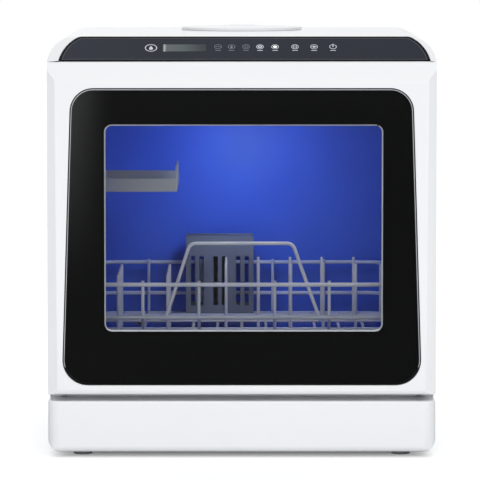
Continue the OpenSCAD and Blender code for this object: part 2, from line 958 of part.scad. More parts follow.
module feed_pipe() {
    outlet_y = pump_y + pump_r + 3;
    way = [
        [0, outlet_y, pump_z],
        [0, pipe_y, pump_z],
        [pipe_x, pipe_y, pump_z],
        [pipe_x, pipe_y, pipe_z],
        [pipe_x, spin_y, pipe_z],
        [0, spin_y, pipe_z]
    ];
    color("#c9ccd2")
        difference() {
            union() {
                run(concat(way, [[0, spin_y, pipe_z - pipe_r - 1]]), pipe_r);
                translate([0, spin_y, arm_high_z - slide_gap])
                    cylinder(r = spindle_r, h = pipe_z - pipe_r - arm_high_z);
                translate([0, spin_y, arm_high_z + arm_t + slide_gap])
                    cylinder(r = arm_cap_r, h = tub_ceil_z - arm_high_z - arm_t - slide_gap);
                translate([0, spin_y, arm_high_z - slide_gap - arm_cap_t])
                    cylinder(r = arm_cap_r, h = arm_cap_t);
            }
            run(concat(way, [[0, spin_y, arm_high_z]]), pipe_r - pipe_t);
        }
}

module heater_legs(r) {
    for (s = [-1, 1])
        translate([-heater_ring_r, spin_y + s * 9, tub_floor_z - 16])
            cylinder(r = r, h = 17 + heater_r);
}

module heater() {
    z = tub_floor_z + heater_r + heater_lift;
    color("silver") {
        translate([0, spin_y, z])
            rotate_extrude()
                translate([heater_ring_r, 0])
                    circle(r = heater_r);
        heater_legs(heater_r);
    }
}

module drain_pump_body() {
    x0 = sump_x + sump_r + 4;
    color("#303236")
        difference() {
            union() {
                rod([x0, sump_y, drain_z], [x0 + 48, sump_y, drain_z], drain_r);
                rod([x0 + 12, sump_y, drain_z], [x0 + 12, sump_y + drain_r + 4, drain_z], hose_r);
            }
            rod([x0 + 3, sump_y, drain_z], [x0 + 22, sump_y, drain_z], drain_r - 3);
            rod([x0 - past, sump_y, drain_z], [x0 + 10, sump_y, drain_z], hose_r - hose_t);
            rod([x0 + 12, sump_y, drain_z], [x0 + 12, sump_y + drain_r + 10, drain_z], hose_r - hose_t);
            rod([x0 + 20, sump_y, drain_z], [x0 + 41, sump_y, drain_z], drain_shaft_r + run_fit);
        }
}

module drain_impeller() {
    x0 = sump_x + sump_r + 4;
    color("orange") {
        rod([x0 + 10, sump_y, drain_z], [x0 + 40, sump_y, drain_z], drain_shaft_r);
        rod([x0 + 18, sump_y, drain_z], [x0 + 20, sump_y, drain_z], drain_r - 6);
        for (a = [0 : 90 : 270])
            translate([x0 + 18, sump_y, drain_z])
                rotate([a, 0, 0])
                    span([-7, 0], [-1, 1], [1.5, drain_r - 7]);
    }
}

module drain_hose() {
    x = sump_x + sump_r + 16;
    color("#3a3c40")
        hose([
            [x, sump_y + drain_r + 4, drain_z],
            [x, drain_y1, drain_z],
            [x, drain_y1, spigot_z],
            [spigot_x, drain_y1, spigot_z],
            [spigot_x, pocket_y - sheet - 8, spigot_z]
        ], hose_r, hose_t);
}

module drain_spigot() {
    color("#303236")
        difference() {
            union() {
                rod([spigot_x, pocket_y - sheet - 3, spigot_z], [spigot_x, pocket_y + spigot_len, spigot_z],
                    spigot_r);
                rod([spigot_x, pocket_y - sheet - 3, spigot_z], [spigot_x, pocket_y + collar_t, spigot_z],
                    spigot_collar_r);
                rod([spigot_x, pocket_y - sheet - 8, spigot_z], [spigot_x, pocket_y - sheet, spigot_z],
                    spigot_r + 4);
            }
            rod([spigot_x, pocket_y - sheet - 9, spigot_z],
                [spigot_x, pocket_y + spigot_len + past, spigot_z], spigot_r - 2.5);
        }
}

module inlet_valve() {
    y1 = pocket_y - sheet;
    color("#303236")
        difference() {
            union() {
                span([inlet_x - 19, inlet_x + 19], [y1 - 22, y1], [inlet_z - 18, inlet_z + 18]);
                rod([inlet_x, y1 - past, inlet_z], [inlet_x, pocket_y + inlet_len, inlet_z], inlet_r);
                rod([inlet_x, y1 - past, inlet_z], [inlet_x, pocket_y + collar_t, inlet_z], inlet_collar_r);
                translate([inlet_x, tank_mid_y, inlet_z])
                    cylinder(r = hose_r, h = tank_z0 - 6 - inlet_z);
            }
            rod([inlet_x, tank_mid_y, inlet_z], [inlet_x, pocket_y + inlet_len + past, inlet_z],
                inlet_r - 3.5);
            translate([inlet_x, tank_mid_y, inlet_z])
                cylinder(r = hose_r - hose_t, h = tank_z0 - inlet_z);
        }
}

module cord_gland() {
    y1 = back_y - sheet;
    color("#303236")
        difference() {
            union() {
                rod([gland_x, y1 - 14, gland_z], [gland_x, back_y, gland_z], 9);
                rod([gland_x, y1 - 14, gland_z], [gland_x, y1, gland_z], 11);
            }
            rod([gland_x, y1 - 15, gland_z], [gland_x, back_y + past, gland_z], gland_bore_r);
        }
}

// Ring on the fan's axis between two values along Y
module on_fan(y0, y1, r) {
    rod([fan_x, y0, fan_z], [fan_x, y1, fan_z], r);
}

module fan_housing() {
    color("#303236")
        difference() {
            union() {
                on_fan(fan_y0, fan_y0 + fan_len, fan_r);
                rod([fan_x, tub_back_y + tub_wall, fan_z + 12], [fan_x, fan_y0 + 2, fan_z + 12], 12);
                on_fan(fan_y0 + fan_len, fan_y0 + fan_len + 14, 14);
            }
            on_fan(fan_y0 + fan_wall, fan_y0 + fan_len - fan_wall, fan_r - fan_wall);
            rod([fan_x, tub_back_y, fan_z + 12], [fan_x, fan_y0 + 5, fan_z + 12], 9);
            on_fan(fan_y0 + 10, fan_y0 + fan_len + 10, fan_shaft_r + run_fit);
            for (a = [0 : 60 : 300])
                translate([fan_x, 0, fan_z])
                    rotate([0, a, 0])
                        span([-4, 4], [fan_y0 + fan_len - 5, fan_y0 + fan_len + past], [17, 25]);
        }
}

module fan_blades() {
    y0 = fan_y0 + fan_wall + 3;
    color("orange") {
        on_fan(y0, fan_y0 + fan_len + 9, fan_shaft_r);
        on_fan(y0, y0 + 3, fan_r - fan_wall - 5);
        for (a = [0 : 30 : 330])
            translate([fan_x, 0, fan_z])
                rotate([0, a, 0])
                    span([-0.8, 0.8], [y0 + 3, y0 + 14], [14, fan_r - fan_wall - 6]);
    }
}

module led_strip() {
    color("#7fa4ff")
        span([-80, 80], [tub_front_y + 18, tub_front_y + 30], [tub_ceil_z - 5, tub_ceil_z]);
}

module rack_runners() {
    y0 = tub_front_y + 6;
    y1 = tub_back_y - 6;
    color("#b9bcc2")
        both_sides() {
            span([tub_half - runner_w, tub_half], [y0, y1], [runner_z - runner_t, runner_z]);
            span([tub_half - 2, tub_half], [y0, y1], [runner_z, runner_z + 11]);
        }
}

module shelf_bracket() {
    ear = 7;
    color("#6b6d70") {
        for (y = [shelf_y0 - ear, shelf_y0 + shelf_d])
            difference() {
                span([-tub_half, shelf_x + 5], [y, y + ear], [shelf_z - 6, shelf_z + 6]);
                rod([shelf_x, y - past, shelf_z], [shelf_x, y + ear + past, shelf_z], shelf_pin_r);
            }
        rod([shelf_x, shelf_y0 - ear, shelf_z], [shelf_x, shelf_y0 + shelf_d + ear, shelf_z],
            shelf_pin_r);
    }
}

module cup_shelf() {
    y0 = shelf_y0 + slide_gap;
    y1 = shelf_y0 + shelf_d - slide_gap;
    x0 = shelf_x + 4.5;
    x1 = shelf_x + shelf_w;
    plate = 2.5;
    step = 13;
    color("#67696b")
        difference() {
            union() {
                rod([shelf_x, y0, shelf_z], [shelf_x, y1, shelf_z], shelf_barrel_r);
                span([shelf_x, x1], [y0, y1], [shelf_z - plate / 2, shelf_z + plate / 2]);
                span([x0, x1], [y0, y0 + plate], [shelf_z - 2, shelf_z + shelf_lip]);
                span([x0, x1], [y1 - plate, y1], [shelf_z - 2, shelf_z + shelf_lip]);
                span([x1 - plate, x1], [y0 + 30, y1 - 30], [shelf_z, shelf_z + 2 * shelf_lip]);
            }
            rod([shelf_x, y0 - past, shelf_z], [shelf_x, y1 + past, shelf_z], shelf_pin_r + run_fit);
            for (x = [x0 + 8 : step : x1 - 12])
                span([x, x + 6], [y0 + 14, y1 - 14], [shelf_z - plate, shelf_z + plate]);
        }
}

module lid_pin() {
    color("silver")
        rod([-lid_ear_half - 6, lid_pin_y, lid_pin_z], [lid_ear_half + 6, lid_pin_y, lid_pin_z],
            lid_pin_r);
}

module fill_lid() {
    low = top_z + 0.2;
    color("white")
        difference() {
            union() {
                translate([0, lid_y, low])
                    cylinder(r = lid_r, h = lid_h - 0.2);
                translate([0, lid_y, top_z - lid_plug_h])
                    cylinder(r = lid_plug_r, h = lid_plug_h + past);
                rod([-lid_ear_half, lid_pin_y, lid_pin_z], [lid_ear_half, lid_pin_y, lid_pin_z], lid_ear_r);
                span([-lid_ear_half, lid_ear_half], [lid_y + lid_r - 8, lid_pin_y],
                    [low, lid_pin_z + lid_ear_r]);
            }
            translate([0, lid_y, top_z - lid_plug_h - past])
                cylinder(r = lid_plug_r - 3, h = lid_plug_h + past);
            rod([-half_w, lid_pin_y, lid_pin_z], [half_w, lid_pin_y, lid_pin_z], lid_pin_r + run_fit);
        }
}

// Outline of the door from the side, in Y and Z
function door_side(y1) = [
    [front_y, door_z0 + foot_bevel],
    [front_y + foot_bevel, door_z0],
    [y1, door_z0],
    [y1, door_z1],
    [front_y + top_bevel_d, door_z1],
    [front_y, door_z1 - top_bevel_h]
];

// Outline of the door from above, in X and Y
function door_plan(y1) = [
    [-half_w + side_bevel_w, front_y],
    [half_w - side_bevel_w, front_y],
    [half_w, front_y + side_bevel_d],
    [half_w, y1],
    [-half_w, y1],
    [-half_w, front_y + side_bevel_d]
];

// Lip along the door's top edge, in front of the top cover's edge
module door_lip() {
    slope = top_bevel_d / top_bevel_h;
    bevel_y = front_y + top_bevel_d;
    prism_x(-half_w, half_w)
        polygon([
            [bevel_y, door_z1],
            [door_lip_y, door_z1],
            [door_lip_y, door_lip_z],
            [bevel_y + (door_lip_z - door_z1) * slope, door_lip_z]
        ]);
}

module door_block(t, y1) {
    intersection() {
        prism_x(-half_w, half_w)
            polygon(inset(door_side(y1), t));
        prism_z(door_z0, door_z1)
            polygon(inset(door_plan(y1), t));
    }
}

// Outline of the glass, drawn inwards by t
module glass_shape(t) {
    p = inset([
        [-glass_low_w / 2, glass_z0],
        [glass_low_w / 2, glass_z0],
        [glass_high_w / 2, glass_z1],
        [-glass_high_w / 2, glass_z1]
    ], t);
    outline(p, [glass_low_r - t, glass_low_r - t, glass_high_r - t, glass_high_r - t]);
}

// Outline of the clear window, grown outwards by t
module window_shape(t) {
    round_box(window_x - window_w / 2 - t, window_x + window_w / 2 + t,
        window_z0 - t, window_z1 + t, window_r + t);
}

module hinge_slots(y1) {
    both_sides()
        span([hinge_x - bracket_t / 2 - bracket_gap, hinge_x + bracket_t / 2 + bracket_gap],
            [hinge_y - bracket_r - 1, y1], [door_z0 - past, hinge_z + bracket_r + 1]);
}

module door_frame() {
    cheek_x0 = hinge_x - bracket_t / 2 - bracket_gap - cheek_t;
    cheek_x1 = hinge_x + bracket_t / 2 + bracket_gap + cheek_t;
    y1 = door_in_y - panel_t;
    color("white")
        difference() {
            union() {
                difference() {
                    union() {
                        door_block(0, y1);
                        door_lip();
                    }
                    intersection() {
                        door_block(door_wall, y1 + 3 * door_wall);
                        span([-half_w, half_w], [web_y + web_t, y1 + past], [door_z0, door_z1]);
                    }
                }
                both_sides()
                    span([cheek_x0, cheek_x1], [web_y + web_t, y1],
                        [door_z0, hinge_z + bracket_r + 4]);
            }
            prism_y(front_y - past, web_y)
                glass_shape(-set_gap);
            prism_y(front_y - past, web_y + web_t + past)
                window_shape(window_margin);
            hinge_slots(door_in_y + past);
            both_sides()
                rod([cheek_x0 + 1, hinge_y, hinge_z], [cheek_x1 - 1, hinge_y, hinge_z], hinge_pin_r);
        }
}

module door_glass() {
    color("#8f98a0", 0.4)
        prism_y(glass_y, mask_y)
            glass_shape(0);
}

module glass_mask() {
    color("black")
        prism_y(mask_y, web_y)
            difference() {
                glass_shape(1);
                window_shape(trim_w);
            }
}

module window_trim() {
    color("silver")
        prism_y(mask_y, web_y)
            difference() {
                window_shape(trim_w);
                window_shape(0);
            }
}

module window_liner() {
    color("#222428")
        prism_y(web_y + web_t, inner_glass_y)
            difference() {
                window_shape(window_margin + liner_t);
                window_shape(window_margin);
            }
}

module inner_glass() {
    color("#8f98a0", 0.4)
        prism_y(inner_glass_y, inner_glass_y + inner_glass_t)
            window_shape(window_margin + inner_glass_lap);
}

module door_inner_panel() {
    gap = 1;
    color("#c6c9cf")
        difference() {
            prism_y(door_in_y - panel_t, door_in_y)
                round_box(-half_w + gap, half_w - gap, door_z0 + gap, door_z1 - gap, 6);
            prism_y(door_in_y - panel_t - past, door_in_y + past)
                window_shape(window_margin);
            hinge_slots(door_in_y + past);
            span([-cup_half - 2 - set_gap, cup_half + 2 + set_gap],
                [door_in_y - panel_t - past, door_in_y + past],
                [cup_z0 - 2 - set_gap, cup_z0 + cup_h + 2 + set_gap]);
        }
}

module hinge_pins() {
    cheek = bracket_t / 2 + bracket_gap + cheek_t - 1;
    color("silver")
        both_sides()
            rod([hinge_x - cheek, hinge_y, hinge_z], [hinge_x + cheek, hinge_y, hinge_z], hinge_pin_r);
}

module latch_hook() {
    low = latch_z - latch_t / 2;
    color("#d8dade")
        difference() {
            union() {
                span([-latch_half, latch_half], [door_in_y, door_in_y + latch_len], [low, low + latch_t]);
                span([-latch_half, latch_half], [door_in_y, door_in_y + 2], [low, low + latch_t + 2]);
            }
            span([-latch_half + 3, latch_half - 3], [door_in_y + 6, door_in_y + latch_len - 3],
                [low - past, low + latch_t + past]);
        }
}

module detergent_cup() {
    y1 = door_in_y + cup_flange_t;
    color("#e6e8eb")
        difference() {
            union() {
                span([-cup_half - 2, cup_half + 2], [door_in_y - cup_depth, y1],
                    [cup_z0 - 2, cup_z0 + cup_h + 2]);
                span([-cup_half - cup_rim, cup_half + cup_rim], [door_in_y, y1],
                    [cup_z0 - cup_rim, cup_z0 + cup_h + cup_rim]);
            }
            span([-cup_half, cup_half], [door_in_y - cup_depth + 2, y1 + past],
                [cup_z0, cup_z0 + cup_h]);
        }
}

module detergent_cover() {
    y0 = door_in_y + cup_flange_t + slide_gap;
    color("#9aa0a8") {
        span([-cup_half - 3, cup_half + 3], [y0, y0 + cup_cover_t], [cup_z0 - 3, cup_z0 + cup_h + 3]);
        span([-cup_half + 4, -cup_half + 9], [y0 + cup_cover_t, y0 + cup_cover_t + 0.8],
            [cup_z0 + 4, cup_z0 + cup_h - 4]);
    }
}

module rack_floor() {
    pitch = 28;
    wires = floor((rack_half - 10) / pitch);
    color("#8d8e96") {
        wire_ring(rack_half, rack_floor_y0, rack_y1, rack_z, rack_corner_r, 2);
        for (i = [-wires : wires])
            rod([i * pitch, rack_floor_y0, rack_z], [i * pitch, rack_y1, rack_z], wire_r);
        for (y = tine_rows)
            rod([-rack_half, y, rack_z + 2 * wire_r - 0.4], [rack_half, y, rack_z + 2 * wire_r - 0.4],
                wire_r);
    }
}

module rack_rails() {
    color("#8d8e96")
        for (z = [rail_low_z, rail_high_z])
            wire_ring(rack_half, rack_y0, rack_y1, z, rack_corner_r, rail_r);
}

module rack_uprights() {
    front = rack_y0 + rail_r + wire_r;
    back = rack_y1 - rail_r - wire_r;
    side = rack_half - rail_r - wire_r;
    top = rail_high_z + 4;
    color("#8d8e96") {
        for (x = post_x) {
            run([[x, rack_floor_y0, rack_z + 3], [x, front, rail_low_z], [x, front, top]], wire_r);
            rod([x, back, rack_z + 3], [x, back, top], wire_r);
        }
        both_sides()
            for (y = [-90, -10, 70])
                rod([side, y, rack_z], [side, y, top], wire_r);
    }
}

module rack_handle() {
    r = 2.1;
    knuckle_r = 2.4;
    y = rack_y0 + rail_r + knuckle_r;
    top = tub_floor_z + handle_up;
    points = [[-86, y, rail_low_z - 4], [-58, y, top], [57, y, top], [88, y, rail_low_z - 4]];
    color("#8d8e96") {
        for (i = [1 : len(points) - 1])
            rod(points[i - 1], points[i], r);
        for (i = [1 : len(points) - 2])
            translate(points[i])
                sphere(r = knuckle_r);
    }
}

module rack_tines() {
    foot = rack_z + 3 * wire_r - 0.6;
    color("#8d8e96") {
        for (y = [tine_rows[0], tine_rows[1]])
            for (i = [0 : 4])
                rod([-18 + i * plate_pitch, y, foot], [-18 + i * plate_pitch, y, foot + tine_h], tine_r);
        for (x = [-140, -84])
            for (i = [0 : 4])
                rod([x, -110 + i * 34, rack_z + wire_r - 0.2], [x, -110 + i * 34, foot + tine_h - 10], tine_r);
    }
}

module rack_glides() {
    color("#d8dade")
        difference() {
            both_sides()
                for (y = [rack_floor_y0 + 40, rack_y1 - 60])
                    span([rack_half - 3, tub_half - runner_w + 8], [y, y + glide_l],
                        [runner_z + slide_gap, rack_z + 4]);
            wire_ring(rack_half, rack_floor_y0, rack_y1, rack_z, rack_corner_r, 2);
        }
}

module cutlery_basket() {
    x0 = -66;
    x1 = x0 + basket_w;
    y1 = rack_y1 - 8;
    y0 = y1 - basket_d;
    z0 = rack_z + wire_r + slide_gap;
    z1 = z0 + basket_h;
    skin = 2;
    color("#7b7e85")
        difference() {
            span([x0, x1], [y0, y1], [z0, z1]);
            difference() {
                span([x0 + skin, x1 - skin], [y0 + skin, y1 - skin], [z0 + skin, z1 + past]);
                for (i = [1 : 2])
                    span([x0 + i * basket_w / 3 - 1, x0 + i * basket_w / 3 + 1], [y0, y1], [z0, z1 - 6]);
            }
            for (i = [0 : 2])
                for (j = [0 : 1])
                    span([x0 + i * basket_w / 3 + 6 + j * 10, x0 + i * basket_w / 3 + 11 + j * 10],
                        [y0 - past, y1 + past], [z0 + 12, z1 - 24]);
        }
}

module filter() {
    z0 = tub_floor_z - 50;
    z1 = tub_floor_z + 2;
    color("silver")
        translate([sump_x, sump_y, 0])
            difference() {
                union() {
                    translate([0, 0, z0])
                        cylinder(r = filter_r, h = z1 - z0);
                    translate([0, 0, tub_floor_z + slide_gap])
                        cylinder(r = filter_r + 6, h = 2.2);
                    translate([0, 0, z0])
                        cylinder(r = 3, h = z1 - z0 + 6);
                    span([-16, 16], [-2, 2], [z1, z1 + 5.5]);
                }
                difference() {
                    translate([0, 0, z0 + 1.5])
                        cylinder(r = filter_r - 1.5, h = z1 - z0 - 3);
                    translate([0, 0, z0])
                        cylinder(r = 3, h = z1 - z0);
                }
                for (a = [0 : 30 : 330])
                    rotate([0, 0, a])
                        span([filter_r - 5, filter_r + 5], [-4, 4], [z0 + 8, z0 + 38]);
            }
}

base_tray();
feet();
side_panel_left();
side_panel_right();
rear_panel();
rear_screws();
top_cover();
control_glass();
display_module();
control_board();
fill_funnel();
water_tank();
tub();
tub_seal();
lock_body();
hinge_brackets();
sump();
spray_manifold();
wash_pump_housing();
wash_pump_motor();
wash_impeller();
wash_pump_hose();
drain_pump_body();
drain_impeller();
drain_hose();
tank_outlet_hose();
heater();
feed_pipe();
fan_housing();
fan_blades();
inlet_valve();
drain_spigot();
cord_gland();
led_strip();
rack_runners();
shelf_bracket();
lid_pin();
door_frame();
door_glass();
glass_mask();
window_trim();
window_liner();
inner_glass();
door_inner_panel();
hinge_pins();
latch_hook();
detergent_cup();
detergent_cover();
rack_floor();
rack_rails();
rack_uprights();
rack_handle();
rack_tines();
rack_glides();
cutlery_basket();
cup_shelf();
fill_lid();
filter();
lower_spray_arm();
upper_spray_arm();
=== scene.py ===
# Countertop dishwasher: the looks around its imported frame. Metres, Z up, the door faces -Y.
import json
import math

import bmesh
import bpy
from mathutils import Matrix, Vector

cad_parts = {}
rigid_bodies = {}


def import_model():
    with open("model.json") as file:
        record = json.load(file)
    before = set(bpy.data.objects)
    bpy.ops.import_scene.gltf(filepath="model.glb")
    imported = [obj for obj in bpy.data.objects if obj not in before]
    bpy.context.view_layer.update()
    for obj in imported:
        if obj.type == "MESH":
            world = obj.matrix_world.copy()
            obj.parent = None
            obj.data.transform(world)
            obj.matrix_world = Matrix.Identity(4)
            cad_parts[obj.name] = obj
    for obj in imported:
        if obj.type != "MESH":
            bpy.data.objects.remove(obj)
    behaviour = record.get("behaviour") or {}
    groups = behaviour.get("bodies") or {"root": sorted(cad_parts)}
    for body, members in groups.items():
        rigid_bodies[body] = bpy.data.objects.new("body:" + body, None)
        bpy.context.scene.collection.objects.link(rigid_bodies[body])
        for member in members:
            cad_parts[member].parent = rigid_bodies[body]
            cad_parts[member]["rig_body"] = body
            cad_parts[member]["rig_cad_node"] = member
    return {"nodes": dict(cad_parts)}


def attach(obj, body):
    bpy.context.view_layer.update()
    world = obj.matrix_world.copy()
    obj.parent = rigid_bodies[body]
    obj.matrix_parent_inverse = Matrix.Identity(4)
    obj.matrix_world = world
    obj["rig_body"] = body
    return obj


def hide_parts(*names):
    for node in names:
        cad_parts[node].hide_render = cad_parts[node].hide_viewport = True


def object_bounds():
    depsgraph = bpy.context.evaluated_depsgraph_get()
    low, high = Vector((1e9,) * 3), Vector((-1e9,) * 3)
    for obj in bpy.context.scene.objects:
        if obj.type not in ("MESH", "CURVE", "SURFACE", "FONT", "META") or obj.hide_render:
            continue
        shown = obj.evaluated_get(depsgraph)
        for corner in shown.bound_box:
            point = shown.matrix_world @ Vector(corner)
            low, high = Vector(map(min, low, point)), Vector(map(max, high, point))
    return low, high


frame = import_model()
cadLow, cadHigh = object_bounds()

weld = 0.00001  # points this close count as one
hair = 0.0001  # a point this close to a plane counts as on it
past = 0.01  # how far a cutter runs past what it cuts
flatAngle = 0.4  # faces that meet flatter than this, in degrees, become one
mostly, hardly = 0.9, 0.1  # shares of a normal: facing a way, and not facing it


def deselectAll():
    if bpy.context.mode != "OBJECT":
        bpy.ops.object.mode_set(mode="OBJECT")
    bpy.ops.object.select_all(action="DESELECT")


def activate(piece):
    deselectAll()
    piece.select_set(True)
    bpy.context.view_layer.objects.active = piece


def editAll(piece):
    activate(piece)
    bpy.ops.object.mode_set(mode="EDIT")
    bpy.ops.mesh.select_all(action="SELECT")


def leaveEdit():
    bpy.ops.object.mode_set(mode="OBJECT")


def middle(part):
    return sum((v.co for v in part.verts), Vector()) / len(part.verts)


def pick(piece, kind, test):  # selects the faces or edges that pass the test, in edit mode
    editAll(piece)
    bpy.ops.mesh.select_mode(type=kind)
    bpy.ops.mesh.select_all(action="DESELECT")
    mesh = bmesh.from_edit_mesh(piece.data)
    mesh.normal_update()
    for part in mesh.faces if kind == "FACE" else mesh.edges:
        if test(part):
            part.select_set(True)
    bmesh.update_edit_mesh(piece.data)


def facing(direction, limit=0.98):
    aim = Vector(direction).normalized()
    return lambda face: face.normal.dot(aim) > limit


def runsAlong(edge, axis, share=0.99):
    line = edge.verts[1].co - edge.verts[0].co
    return abs(line[axis]) > share * line.length


def paintPicked(piece, slotIndex):
    piece.active_material_index = slotIndex
    bpy.ops.object.material_slot_assign()


def modify(piece, kind, **settings):
    activate(piece)
    modifier = piece.modifiers.new(kind.lower(), kind)
    for key, value in settings.items():
        setattr(modifier, key, value)
    bpy.ops.object.modifier_apply(modifier=modifier.name)


def cut(piece, cutter):
    modify(piece, "BOOLEAN", operation="DIFFERENCE", solver="EXACT", object=cutter)
    bpy.data.objects.remove(cutter)


def soften(piece, width, segments=3, angle=35):
    modify(piece, "BEVEL", width=width, segments=segments, limit_method="ANGLE",
           angle_limit=math.radians(angle), use_clamp_overlap=False, miter_outer="MITER_ARC")


def joinTo(piece, others):
    activate(piece)
    for other in others:
        other.select_set(True)
    bpy.ops.object.join()
    return piece


def applyPlace(piece):
    activate(piece)
    bpy.ops.object.transform_apply(location=True, rotation=True, scale=True)


def addBlock(name, low, high):
    deselectAll()
    low, high = Vector(low), Vector(high)
    bpy.ops.mesh.primitive_cube_add(size=1, location=(low + high) / 2, scale=high - low)
    block = bpy.context.active_object
    block.name = name
    applyPlace(block)
    return block


def roundCorners(piece, test, radius, segments):
    pick(piece, "EDGE", test)
    bpy.ops.mesh.bevel(offset=radius, segments=segments, profile=0.5, affect="EDGES")
    leaveEdit()


def copyOf(node, name, soft=0.0, segments=3, angle=35):  # a node's shape with softened edges
    deselectAll()
    source = frame["nodes"][node]
    source.select_set(True)
    bpy.context.view_layer.objects.active = source
    bpy.ops.object.duplicate()
    piece = bpy.context.active_object
    piece.name = name
    del piece["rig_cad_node"], piece["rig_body"]
    piece.parent = None
    bpy.ops.mesh.customdata_custom_splitnormals_clear()
    editAll(piece)
    bpy.ops.mesh.remove_doubles(threshold=weld)
    bpy.ops.mesh.dissolve_limited(angle_limit=math.radians(flatAngle))
    leaveEdit()
    if soft:
        soften(piece, soft, segments, angle)
    return piece


def settle(piece, body, nodes, slotName, *materials, angle=32):  # paints, smooths and places a finished piece
    for index, material in enumerate(materials):
        if index < len(piece.material_slots):
            piece.material_slots[index].material = material
        else:
            piece.data.materials.append(material)
    activate(piece)
    bpy.ops.object.shade_smooth_by_angle(angle=math.radians(angle))
    modify(piece, "WEIGHTED_NORMAL", keep_sharp=True)
    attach(piece, body)
    if nodes:
        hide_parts(*nodes)
    return piece


def dress(material, *nodes):
    for node in nodes:
        frame["nodes"][node].material_slots[0].material = material


noiseLow, noiseHigh = 0.3, 0.7  # nearly all of a noise lies between these
plainLook = dict(  # what a finish has unless it says otherwise
    driftScale=14, grainScale=1400, grainDetail=4.0, grainRough=0.6, grain=0.05, grainDepth=0.0002,
    metallic=0.0, coat=0.0, coatRoughness=0.08, ior=1.45, sheen=0.5, glow=(1, 1, 1), glowStrength=0.0,
)
plainSockets = dict(  # where its plain numbers go on the shader
    metallic="Metallic", coat="Coat Weight", coatRoughness="Coat Roughness", ior="IOR",
    sheen="Specular IOR Level", glowStrength="Emission Strength",
)


def startMaterial(name):
    material = bpy.data.materials.new(name)
    material.use_nodes = True
    tree = material.node_tree
    shader = tree.nodes["Principled BSDF"]
    place = tree.nodes.new("ShaderNodeTexCoord")
    return material, tree, shader, place


def addNoise(tree, source, scale, detail=3.0, rough=0.55):
    noise = tree.nodes.new("ShaderNodeTexNoise")
    noise.inputs["Scale"].default_value = scale
    noise.inputs["Detail"].default_value = detail
    noise.inputs["Roughness"].default_value = rough
    tree.links.new(source, noise.inputs["Vector"])
    return noise


def addRamp(tree, source, stops):
    ramp = tree.nodes.new("ShaderNodeValToRGB")
    while len(ramp.color_ramp.elements) < len(stops):
        ramp.color_ramp.elements.new(0.5)
    for element, (at, color) in zip(ramp.color_ramp.elements, stops):
        element.position = at
        element.color = (*color, 1)
    tree.links.new(source, ramp.inputs["Fac"])
    return ramp


def spread(tree, source, low, high):
    level = tree.nodes.new("ShaderNodeMapRange")
    level.inputs["From Min"].default_value = noiseLow
    level.inputs["From Max"].default_value = noiseHigh
    level.inputs["To Min"].default_value = low
    level.inputs["To Max"].default_value = high
    tree.links.new(source, level.inputs["Value"])
    return level.outputs["Result"]


def surface(name, finish):  # tone and gloss drift slowly over the surface, and a fine grain lifts it
    look = {**plainLook, **finish}
    material, tree, shader, place = startMaterial(name)
    coords = place.outputs["Object"]
    if "stretch" in look:
        mapping = tree.nodes.new("ShaderNodeMapping")
        mapping.inputs["Scale"].default_value = look["stretch"]
        tree.links.new(coords, mapping.inputs["Vector"])
        coords = mapping.outputs["Vector"]
    drift = addNoise(tree, coords, look["driftScale"])
    tone = addRamp(tree, drift.outputs["Fac"], [(noiseLow, look["dark"]), (noiseHigh, look["light"])])
    tree.links.new(tone.outputs["Color"], shader.inputs["Base Color"])
    low, high = look["roughness"]
    tree.links.new(spread(tree, drift.outputs["Fac"], low, high), shader.inputs["Roughness"])
    grain = addNoise(tree, coords, look["grainScale"], look["grainDetail"], look["grainRough"])
    bump = tree.nodes.new("ShaderNodeBump")
    bump.inputs["Strength"].default_value = look["grain"]
    bump.inputs["Distance"].default_value = look["grainDepth"]
    tree.links.new(grain.outputs["Fac"], bump.inputs["Height"])
    tree.links.new(bump.outputs["Normal"], shader.inputs["Normal"])
    for key, socket in plainSockets.items():
        shader.inputs[socket].default_value = look[key]
    shader.inputs["Emission Color"].default_value = (*look["glow"], 1)
    return material


